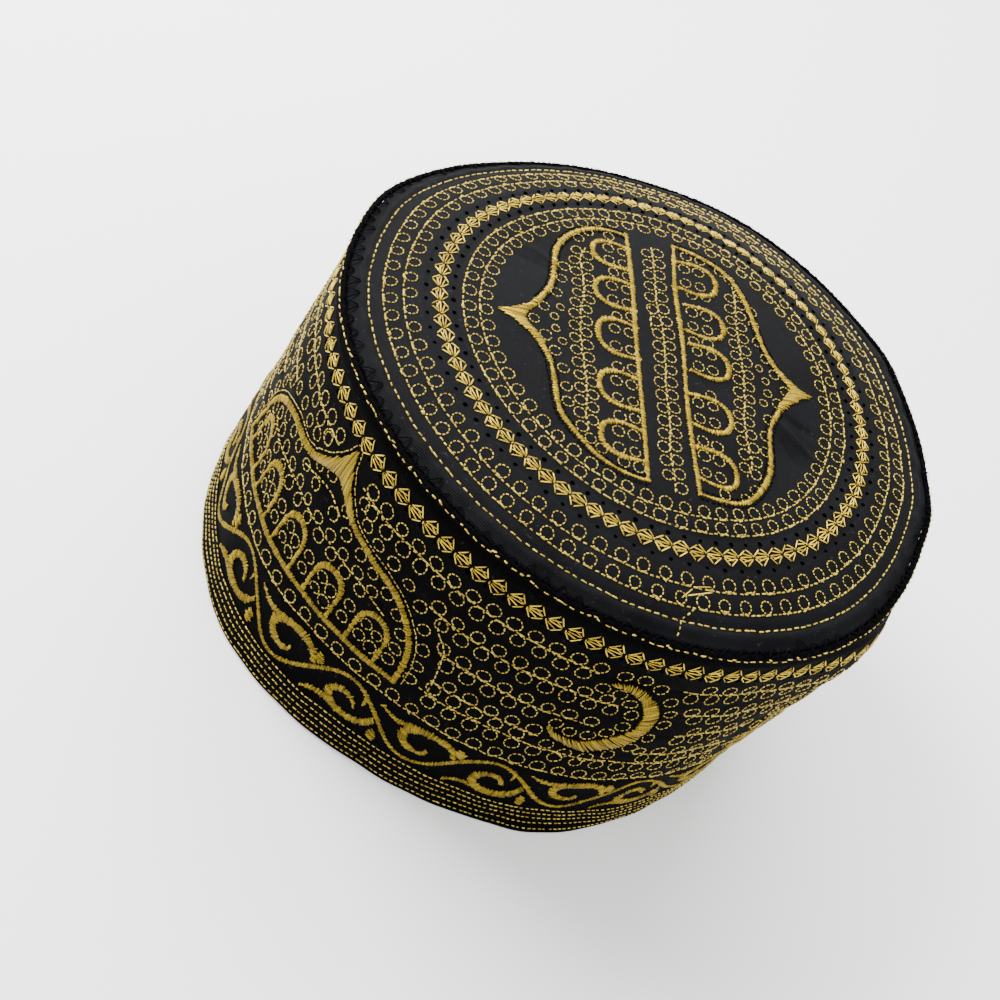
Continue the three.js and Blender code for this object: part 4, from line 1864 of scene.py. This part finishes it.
@dataclass
class SideMedallion:
    """The arched medallion of the side. Places are an angle from its middle and a level."""

    base_level: float = 0.386
    bar_level: float = 0.38
    bar_half: float = 27.4
    bar_width: float = 1.8
    loop_stand: float = 0.0215
    rim: tuple = (
        (27.0, 0.386, 2.0),
        (26.9, 0.45, 2.0),
        (26.2, 0.52, 2.1),
        (24.7, 0.571, 2.2),
        (22.5, 0.615, 2.4),
        (19.5, 0.65, 2.4),
        (16.5, 0.669, 2.4),
        (13.5, 0.677, 2.3),
        (9.5, 0.69, 2.4),
        (6.5, 0.708, 2.6),
    )
    cusp: tuple = (
        (-6.6, 0.693, 0.724),
        (-4.5, 0.718, 0.755),
        (-2.6, 0.737, 0.79),
        (-1.0, 0.746, 0.835),
        (0.0, 0.748, 0.875),
        (1.1, 0.745, 0.83),
        (2.6, 0.734, 0.788),
        (4.5, 0.716, 0.753),
        (6.6, 0.693, 0.724),
    )
    arches: tuple = ((-20.8, 0.97), (-11.1, 0.99), (-1.0, 1.0), (9.1, 1.0), (19.5, 0.99))
    arch: tuple = (
        (-3.0, 0.386, 1.2),
        (-3.0, 0.42, 1.25),
        (-3.0, 0.46, 1.3),
        (-2.75, 0.502, 1.6),
        (-1.7, 0.53, 2.0),
        (0.0, 0.54, 2.2),
        (1.7, 0.53, 2.0),
        (2.75, 0.502, 1.6),
        (3.0, 0.46, 1.3),
        (3.0, 0.42, 1.25),
        (3.0, 0.386, 1.2),
    )
    ends: tuple = ((-24.5, 0.44), (-24.5, 0.49), (-1.5, 0.738))
    line: tuple = ((-21.5, 0.562), (-13.0, 0.57), (-4.0, 0.588), (5.0, 0.59), (14.0, 0.58), (20.0, 0.56))
    low_line: tuple = ((-7.5, 0.658), (-4.5, 0.68), (-1.0, 0.695), (2.5, 0.69), (4.5, 0.68))
    outer_loops: tuple = (
        (6.6, 0.785), (9.3, 0.748), (12.6, 0.735), (16.4, 0.73), (20.3, 0.713), (23.7, 0.678),
        (26.3, 0.62), (28.0, 0.555), (28.8, 0.49), (29.0, 0.428),
    )
    inner_loops: tuple = (
        (18.3, 0.63), (21.5, 0.597), (23.8, 0.552), (24.3, 0.487), (24.3, 0.437), (14.5, 0.645),
        (11.0, 0.655), (7.0, 0.66), (3.0, 0.665), (4.6, 0.71),
    )

    def build(self) -> None:
        """Lays and sews the three medallions."""
        satin = ThreadWork(BAND, 41, (0.08, 0.5, 0.92))
        lines = ThreadWork(BAND, 42)
        dark = ThreadWork(BAND, 43)
        for centre in MEDALLION_CENTRES:
            self.lay_satin(satin, dark, np.array([centre, 0.0]))
            self.lay_lines(lines, np.array([centre, 0.0]))
        dress(satin.sew("side_medallion_satin"), Finish.GOLD_SATIN, "gold_thread")
        dress(lines.sew("side_medallion_lines"), Finish.GOLD_RUN, "gold_thread")
        dress(dark.sew("side_medallion_edging"), Finish.BLACK_THREAD, "black_thread")

    def lay_satin(self, satin: ThreadWork, dark: ThreadWork, centre: np.ndarray) -> None:
        """Lays the rim, the cusp, the base bar and the arches of one medallion.

        Args:
            satin: The satin's work.
            dark: The dark outline's work.
            centre: Angle of the medallion's middle, and 0.
        """
        move = np.append(centre, 0.0)
        for side in (1.0, -1.0):
            path = smooth(np.array(self.rim) * np.array([side, 1.0, 0.85])) + move
            satin.satin(path, SIDE_SATIN)
            dark.run(dark.beside(path, -side * 1.6), Running(1.6, 1.4, THREAD.strand, 0.05))
        cusp = smooth(self.cusp)
        low = cusp[:, [0, 1]] + centre
        high = cusp[:, [0, 2]] + centre
        satin.between(high, low, Satin(0.36, rise=0.45, ragged=0.15))
        dark.run(dark.beside(high, 0.7), EDGING)
        angle = np.linspace(-self.bar_half, self.bar_half, 110)
        bar = np.column_stack([angle, np.full(110, self.bar_level), np.full(110, self.bar_width)])
        satin.satin(bar + move, SIDE_SATIN)
        for place, tall in self.arches:
            path = smooth(self.arch)
            path[:, 1] = self.base_level + (path[:, 1] - self.base_level) * tall
            path = path + move + np.array([place, 0.0, 0.0])
            satin.satin(path, SIDE_SATIN)

    def lay_lines(self, lines: ThreadWork, centre: np.ndarray) -> None:
        """Lays the running lines, the fine line outside the rim and the loops of one medallion.

        Args:
            lines: The running lines' work.
            centre: Angle of the medallion's middle, and 0.
        """
        for side in (1.0, -1.0):
            edge = smooth(np.array(self.rim)[:, :2] * np.array([side, 1.0])) + centre
            lines.run(lines.beside(edge, -side * 2.1), ECHO)
        high = smooth(self.cusp)[:, [0, 2]] + centre
        lines.run(lines.beside(high, 1.2), ECHO)
        for path in (self.line, self.low_line):
            lines.run(smooth(path) + centre, Running(1.55, 1.35, wander=0.12))
        angle = -21.0 + 3.7 * np.arange(11)
        line = np.array(self.line)
        level = np.interp(angle, line[:, 0], line[:, 1])
        above = np.column_stack([angle, level + self.loop_stand])
        below = np.column_stack([angle + 1.85, level - self.loop_stand])[:-1]
        up = np.array([0.0, 1.0])
        spots = np.vstack([above, below])
        outward = np.vstack([np.tile(up, (len(above), 1)), np.tile(-up, (len(below), 1))])
        ringed = np.vstack([both_sides(self.inner_loops), both_sides(self.outer_loops)])
        places = np.array([place for place, _ in self.arches])
        inside = np.array([(-1.3, 0.434), (1.3, 0.426), (-1.2, 0.485), (1.2, 0.475)])
        inside = np.column_stack([places, np.zeros(len(places))])[:, None, :] + inside[None]
        gaps = (places[1:] + places[:-1]) / 2.0
        between = [np.column_stack([gaps, np.full(len(gaps), level)]) for level in (0.44, 0.49)]
        more = np.vstack([inside.reshape(-1, 2), *between, self.ends])
        spots = np.vstack([spots, ringed, more])
        outward = np.vstack([outward, ringed - [0.0, 0.5], np.tile(up, (len(more), 1))])
        stay = thinned(spots, SIDE_GRAIN, 3.4)
        lines.loops(spots[stay] + centre, (outward * SIDE_GRAIN)[stay], 1.78)


@dataclass
class SideCrescent:
    """The crescent of the side. Places are an angle from its middle and a level."""

    outer: tuple = (
        (-4.2, 0.789), (-1.7, 0.798), (0.4, 0.797), (2.8, 0.777), (5.4, 0.737), (7.0, 0.694),
        (7.7, 0.643), (7.5, 0.588), (6.3, 0.532), (4.2, 0.486), (1.3, 0.461), (-1.8, 0.458),
        (-4.5, 0.472), (-6.6, 0.492), (-8.3, 0.524),
    )
    inner: tuple = (
        (-4.1, 0.78), (-1.8, 0.779), (0.3, 0.765), (2.2, 0.74), (3.7, 0.703), (4.6, 0.664),
        (4.8, 0.622), (3.8, 0.576), (2.0, 0.537), (0.0, 0.513), (-2.9, 0.497), (-5.0, 0.502),
        (-6.4, 0.51), (-8.1, 0.53),
    )
    loops: tuple = (
        (-3.1, 0.826), (0.3, 0.832), (3.8, 0.81), (7.1, 0.758), (8.9, 0.7), (9.4, 0.641),
        (8.7, 0.571), (7.1, 0.512), (4.6, 0.456), (1.2, 0.43), (-2.6, 0.428), (-6.4, 0.448),
        (-1.8, 0.753), (1.0, 0.72), (2.6, 0.671), (2.7, 0.614), (1.2, 0.566), (-1.3, 0.537),
        (-4.4, 0.531), (-7.3, 0.547), (-5.0, 0.76),
    )

    def build(self) -> None:
        """Lays and sews the three crescents."""
        satin = ThreadWork(BAND, 51, (0.08, 0.5, 0.92))
        lines = ThreadWork(BAND, 52)
        dark = ThreadWork(BAND, 53)
        for angle in CRESCENT_CENTRES:
            centre = np.array([angle, 0.0])
            outer = smooth(self.outer) + centre
            inner = smooth(self.inner) + centre
            satin.between(outer, inner, Satin(0.42, rise=0.4, ragged=0.2), 0.03)
            dark.run(dark.beside(outer, 0.75), EDGING)
            dark.run(dark.beside(inner, -0.75), EDGING)
            spots = np.array(self.loops)
            outward = (spots - np.array([-1.0, 0.65])) * SIDE_GRAIN
            lines.loops(spots + centre, outward, 1.9)
        dress(satin.sew("side_crescent_satin"), Finish.GOLD_SATIN, "gold_thread")
        dress(lines.sew("side_crescent_loops"), Finish.GOLD_RUN, "gold_thread")
        dress(dark.sew("side_crescent_edging"), Finish.BLACK_THREAD, "black_thread")


@dataclass
class VineScroll:
    """The waving vine above the hem. Places are an angle from a crest and a level."""

    repeats: int = 13
    first_crest: float = -127.3
    middle: float = 0.205
    swing: float = 0.078
    parts: tuple = (
        (
            (6.2, 0.197, 1.6),
            (5.0, 0.163, 2.4),
            (2.8, 0.143, 2.9),
            (-0.2, 0.143, 3.0),
            (-2.1, 0.163, 3.0),
            (-2.4, 0.193, 2.8),
            (-1.4, 0.218, 2.4),
            (0.3, 0.226, 2.2),
            (1.8, 0.213, 1.7),
            (2.4, 0.192, 1.0),
        ),
        ((-0.8, 0.146, 2.4), (-3.2, 0.15, 1.9), (-5.2, 0.141, 1.4), (-6.7, 0.123, 0.8)),
        ((7.2, 0.16, 1.8), (7.2, 0.149, 3.2), (7.2, 0.136, 3.4), (7.2, 0.124, 2.2)),
        (
            (20.5, 0.225, 1.6),
            (19.8, 0.256, 2.4),
            (17.3, 0.273, 2.7),
            (14.0, 0.268, 2.9),
            (11.8, 0.247, 3.0),
            (11.3, 0.217, 2.9),
            (12.4, 0.19, 2.6),
            (14.2, 0.178, 2.2),
            (15.8, 0.184, 1.7),
            (16.2, 0.203, 1.0),
        ),
        ((12.3, 0.262, 2.4), (9.6, 0.253, 1.8), (7.6, 0.263, 1.3), (6.2, 0.275, 0.8)),
        ((21.3, 0.24, 2.2), (21.3, 0.25, 3.2), (21.2, 0.262, 3.2), (21.0, 0.274, 1.9)),
        ((3.4, 0.262, 1.2), (3.5, 0.245, 1.0), (3.4, 0.226, 0.6)),
    )

    def build(self) -> None:
        """Lays the stem as a cosine wave round the side, then the scrolls of each repeat."""
        satin = ThreadWork(BAND, 61, (0.08, 0.5, 0.92))
        pitch = 360.0 / self.repeats
        angle = self.first_crest + np.linspace(0.0, 360.0, 1441)
        wave = np.cos(2 * np.pi * (angle - self.first_crest) / pitch)
        stem = np.column_stack([angle, self.middle + self.swing * wave, 1.45 - 0.3 * np.abs(wave)])
        satin.satin(stem, Satin(0.5, THREAD.fine, 0.35, 0.12, 0.14, 0.12))
        for k in range(self.repeats):
            move = np.array([self.first_crest + pitch * k, 0.0, 0.0])
            for part in self.parts:
                path = smooth(np.array(part) * np.array([1.0, 1.0, 0.9])) + move
                satin.satin(path, Satin(lean=0.3, rise=0.22, ragged=0.22, zigzag=0.14))
        dress(satin.sew("vine_scroll_satin"), Finish.GOLD_SATIN, "gold_thread")


@dataclass
class EdgeSewing:
    """Hem rows, the gold stitches along the seam, and the black overlock of the crown's edge."""

    hem_pitch: float = 1.55
    seam_pitch: float = 2.25
    tooth_count: int = 124
    wrap_count: int = 300
    hair_count: int = 1500

    def build(self) -> None:
        """Lays and sews the edges."""
        hem = ThreadWork(BAND, 71)
        for level in BandChart.seams:
            hem.run(level_path(level), Running(self.hem_pitch, 1.25))
        dress(hem.sew("hem_row_stitches"), Finish.GOLD_RUN, "gold_thread")
        self.seam_line()
        self.overlock()
        self.hair()

    def seam_line(self) -> None:
        """Gold running stitches on the ridge's outer lip, doubled here and there."""
        work = ThreadWork(RIDGE, 72)
        rows = (
            (10.0, Running(self.seam_pitch, 1.5, 0.38, 0.2, 0.15), 0.0),
            (24.0, Running(9.1, 1.2, 0.38, 0.2, 0.15), 0.7),
        )
        for turn_at, stitch, lag in rows:
            angle = lag + np.linspace(-180.0, 180.0, 1081)
            sway = 8.0 * np.sin(np.radians(angle) * 23.0) + 6.0 * np.sin(np.radians(angle) * 61.0)
            work.run(np.column_stack([angle, turn_at + sway]), stitch)
        dress(work.sew("seam_gold_stitches"), Finish.GOLD_RUN, "gold_thread")

    def overlock(self) -> None:
        """Black teeth from the seam up onto the crown, and flat black wraps round the cord."""
        work = ThreadWork(RIDGE, 73)
        angle = -180.0 + 360.0 * np.arange(self.tooth_count) / self.tooth_count
        share = 0.971 - 0.016 * bell(turn(angle, -140.0), 55.0)
        share = share + 0.007 * work.dice.standard_normal(len(angle))
        inner = CROWN.polar_surface(share, angle)
        up = np.broadcast_to(np.array([0.0, 0.0, 1.0]), inner.shape)
        for way in (-0.5, 0.5):
            outer_angle = angle + way * 360.0 / self.tooth_count
            spots = np.column_stack([outer_angle, np.full(len(angle), 70.0)])
            work.lay(inner, RIDGE.surface(spots), up, 0.5, np.full(len(angle), 0.3))
        wraps = -180.0 + 360.0 * np.arange(self.wrap_count) / self.wrap_count
        for low, high in ((140.0, 85.0), (85.0, 35.0), (-10.0, -60.0)):
            slant = 0.3 * work.dice.standard_normal((2, self.wrap_count))
            first = np.column_stack([wraps + slant[0], np.full(self.wrap_count, low)])
            second = np.column_stack([wraps + 0.3 + slant[1], np.full(self.wrap_count, high)])
            work.join(first, second, 0.34, 0.1)
        dress(work.sew("black_overlock"), Finish.BLACK_THREAD, "black_thread")

    def hair(self) -> None:
        """Short black fibres that stand off the overlocked edge."""
        work = ThreadWork(RIDGE, 74, (0.3, 0.7))
        angle = work.dice.uniform(-180.0, 180.0, self.hair_count)
        turn_at = work.dice.uniform(20.0, 135.0, self.hair_count)
        root, normal, _ = RIDGE.frame_at(np.column_stack([angle, turn_at]))
        stray = 0.75 * work.dice.standard_normal((self.hair_count, 3))
        length = work.dice.uniform(0.3, 1.0, (self.hair_count, 1))
        tip = root + length * unit(normal + stray)
        bow = unit(work.dice.standard_normal((self.hair_count, 3)))
        work.lay(root, tip, bow, 0.09, np.full(self.hair_count, 0.15))
        dress(work.sew("edge_fuzz"), Finish.BLACK_THREAD, "black_thread")


@dataclass
class Eyelets:
    """Small needle holes beside the diamond chains, as dished rings of eight sides coloured near black as
    painted shade inside the holes.
    """

    crown_rings: tuple = ((0.757, 84, 1.1), (0.677, 84, 0.2))
    side_level: float = 0.889
    side_count: int = 104
    radius: float = 0.68

    def build(self) -> None:
        """Makes all the eyelets as one piece."""
        places = [CROWN.frame_at(ring_places(level, count, lag)) for level, count, lag in self.crown_rings]
        angle = -180.0 + 360.0 * (np.arange(self.side_count) + 0.6) / self.side_count
        side = np.column_stack([angle, np.full(self.side_count, self.side_level)])
        places.append(BAND.frame_at(side))
        middle = np.vstack([row[0] for row in places])
        normal = np.vstack([row[1] for row in places])
        across = unit(np.cross(normal, np.array([0.1, 0.3, 0.9])))
        beside = np.cross(normal, across)
        dice = np.random.default_rng(81)
        count = len(middle)
        turn_at = np.radians(45.0 * np.arange(8))[None, :]
        size = self.radius * dice.uniform(0.8, 1.15, (count, 1))
        circle = np.cos(turn_at)[..., None] * across[:, None] + np.sin(turn_at)[..., None] * beside[:, None]
        out = normal[:, None, :]
        rings = [
            middle[:, None] - 0.45 * out,
            middle[:, None] + size[..., None] * circle - 0.1 * out,
            middle[:, None] + 0.75 * size[..., None] * circle + 0.13 * out,
            middle[:, None] + 0.03 * out,
        ]
        points = np.concatenate(rings, axis=1)
        base = np.arange(count)[:, None, None] * 18
        here = np.arange(8)
        after = (here + 1) % 8
        under = np.column_stack([np.zeros(8, int), 1 + after, 1 + here])
        wall = np.column_stack([1 + here, 1 + after, 9 + after, 9 + here])
        top = np.column_stack([np.full(8, 17), 9 + here, 9 + after])
        triangles = base + np.vstack([under, top])[None]
        # Painted shade: each eyelet is a small closed dish set on the cloth, coloured near black as the
        # shade inside a needle hole.
        piece = put_mesh("needle_hole_shade_discs", points.reshape(-1, 3), base + wall[None], triangles)
        layer = piece.data.attributes.new("strand", "FLOAT_VECTOR", "POINT")
        layer.data.foreach_set("vector", np.zeros(3 * len(piece.data.vertices), np.float32))
        dress(piece, Finish.NEEDLE_HOLE, "black_thread")


@dataclass
class Studio:
    """Pale floor, soft light and the camera of the photograph."""

    place: tuple = (0.00222, -0.31141, 0.33904)
    right: tuple = (0.80898, 0.43768, 0.39241)
    up: tuple = (-0.58702, 0.56631, 0.57854)
    back: tuple = (0.03099, -0.69838, 0.71506)
    lens: float = 54.0
    sensor: float = 36.0
    floor_size: float = 8.0
    air_strength: float = 1.6
    # Name, place, side and power.
    lights: tuple = (
        ("key light", (-0.55, 0.12, 0.6), 0.4, 17.0),
        ("fill light", (0.8, -0.7, 0.8), 0.9, 7.0),
        ("back light", (-0.25, 0.78, 0.85), 0.8, 23.0),
    )

    def floor(self) -> None:
        """A plain pale floor, level at the cap's rim."""
        half = self.floor_size / 2.0
        grid = np.linspace(-half, half, 5) / MM
        x, y = np.meshgrid(grid, grid, indexing="ij")
        points = np.stack([x.ravel(), y.ravel(), np.zeros(25)], axis=-1)
        row, column = np.meshgrid(np.arange(4), np.arange(4), indexing="ij")
        low = (row * 5 + column).ravel()
        quads = np.column_stack([low, low + 5, low + 6, low + 1])
        piece = put_mesh("studio_floor", points, quads, np.zeros((0, 3), int))
        material, sheet, shader = new_material("pale floor")
        noise = sheet.node("ShaderNodeTexNoise")
        noise.inputs["Scale"].default_value = 3.0
        place = sheet.node("ShaderNodeTexCoord")
        sheet.link(place.outputs["Object"], noise.inputs["Vector"])
        tone = sheet.blend(noise.outputs["Fac"], (0.86, 0.86, 0.86, 1.0), (0.9, 0.9, 0.9, 1.0))
        sheet.link(tone, shader.inputs["Base Color"])
        shader.inputs["Roughness"].default_value = 0.9
        piece.data.materials.append(material)

    def light(self, name: str, place: tuple, size: float, power: float) -> None:
        """A square soft light aimed at the cap.

        Args:
            name: The light's name.
            place: Its place in metres.
            size: Its side in metres.
            power: Its power in watts.
        """
        lamp = bpy.data.lights.new(name, "AREA")
        lamp.size = size
        lamp.energy = power
        holder = bpy.data.objects.new(name, lamp)
        holder.location = place
        aim = Vector((0.0, 0.0, 0.05)) - Vector(place)
        holder.rotation_euler = aim.to_track_quat("-Z", "Y").to_euler()
        bpy.context.scene.collection.objects.link(holder)

    def build(self) -> None:
        """Sets up the floor, the lights, the surroundings and the camera."""
        self.floor()
        world = bpy.data.worlds.new("studio air")
        world.use_nodes = True
        world.node_tree.nodes["Background"].inputs["Color"].default_value = (1.0, 1.0, 1.0, 1.0)
        world.node_tree.nodes["Background"].inputs["Strength"].default_value = self.air_strength
        bpy.context.scene.world = world
        for name, place, size, power in self.lights:
            self.light(name, place, size, power)
        view = bpy.data.cameras.new("photo view")
        view.lens = self.lens
        view.sensor_width = self.sensor
        view.clip_start = 0.01
        holder = bpy.data.objects.new("photo view", view)
        columns = [Vector(self.right), Vector(self.up), Vector(self.back)]
        turned = Matrix(columns).transposed().to_4x4()
        holder.matrix_world = Matrix.Translation(Vector(self.place)) @ turned
        bpy.context.scene.collection.objects.link(holder)
        bpy.context.scene.camera = holder


def main() -> None:
    """Builds the cap and the studio."""
    logging.basicConfig(level=logging.INFO, format="%(message)s")
    Groups.make()
    Studio().build()
    ClothShells().build()
    CrownRings().build()
    CrownMedallion().build()
    SideRows().build()
    SideMedallion().build()
    SideCrescent().build()
    VineScroll().build()
    EdgeSewing().build()
    Eyelets().build()


if __name__ == "__main__":
    main()
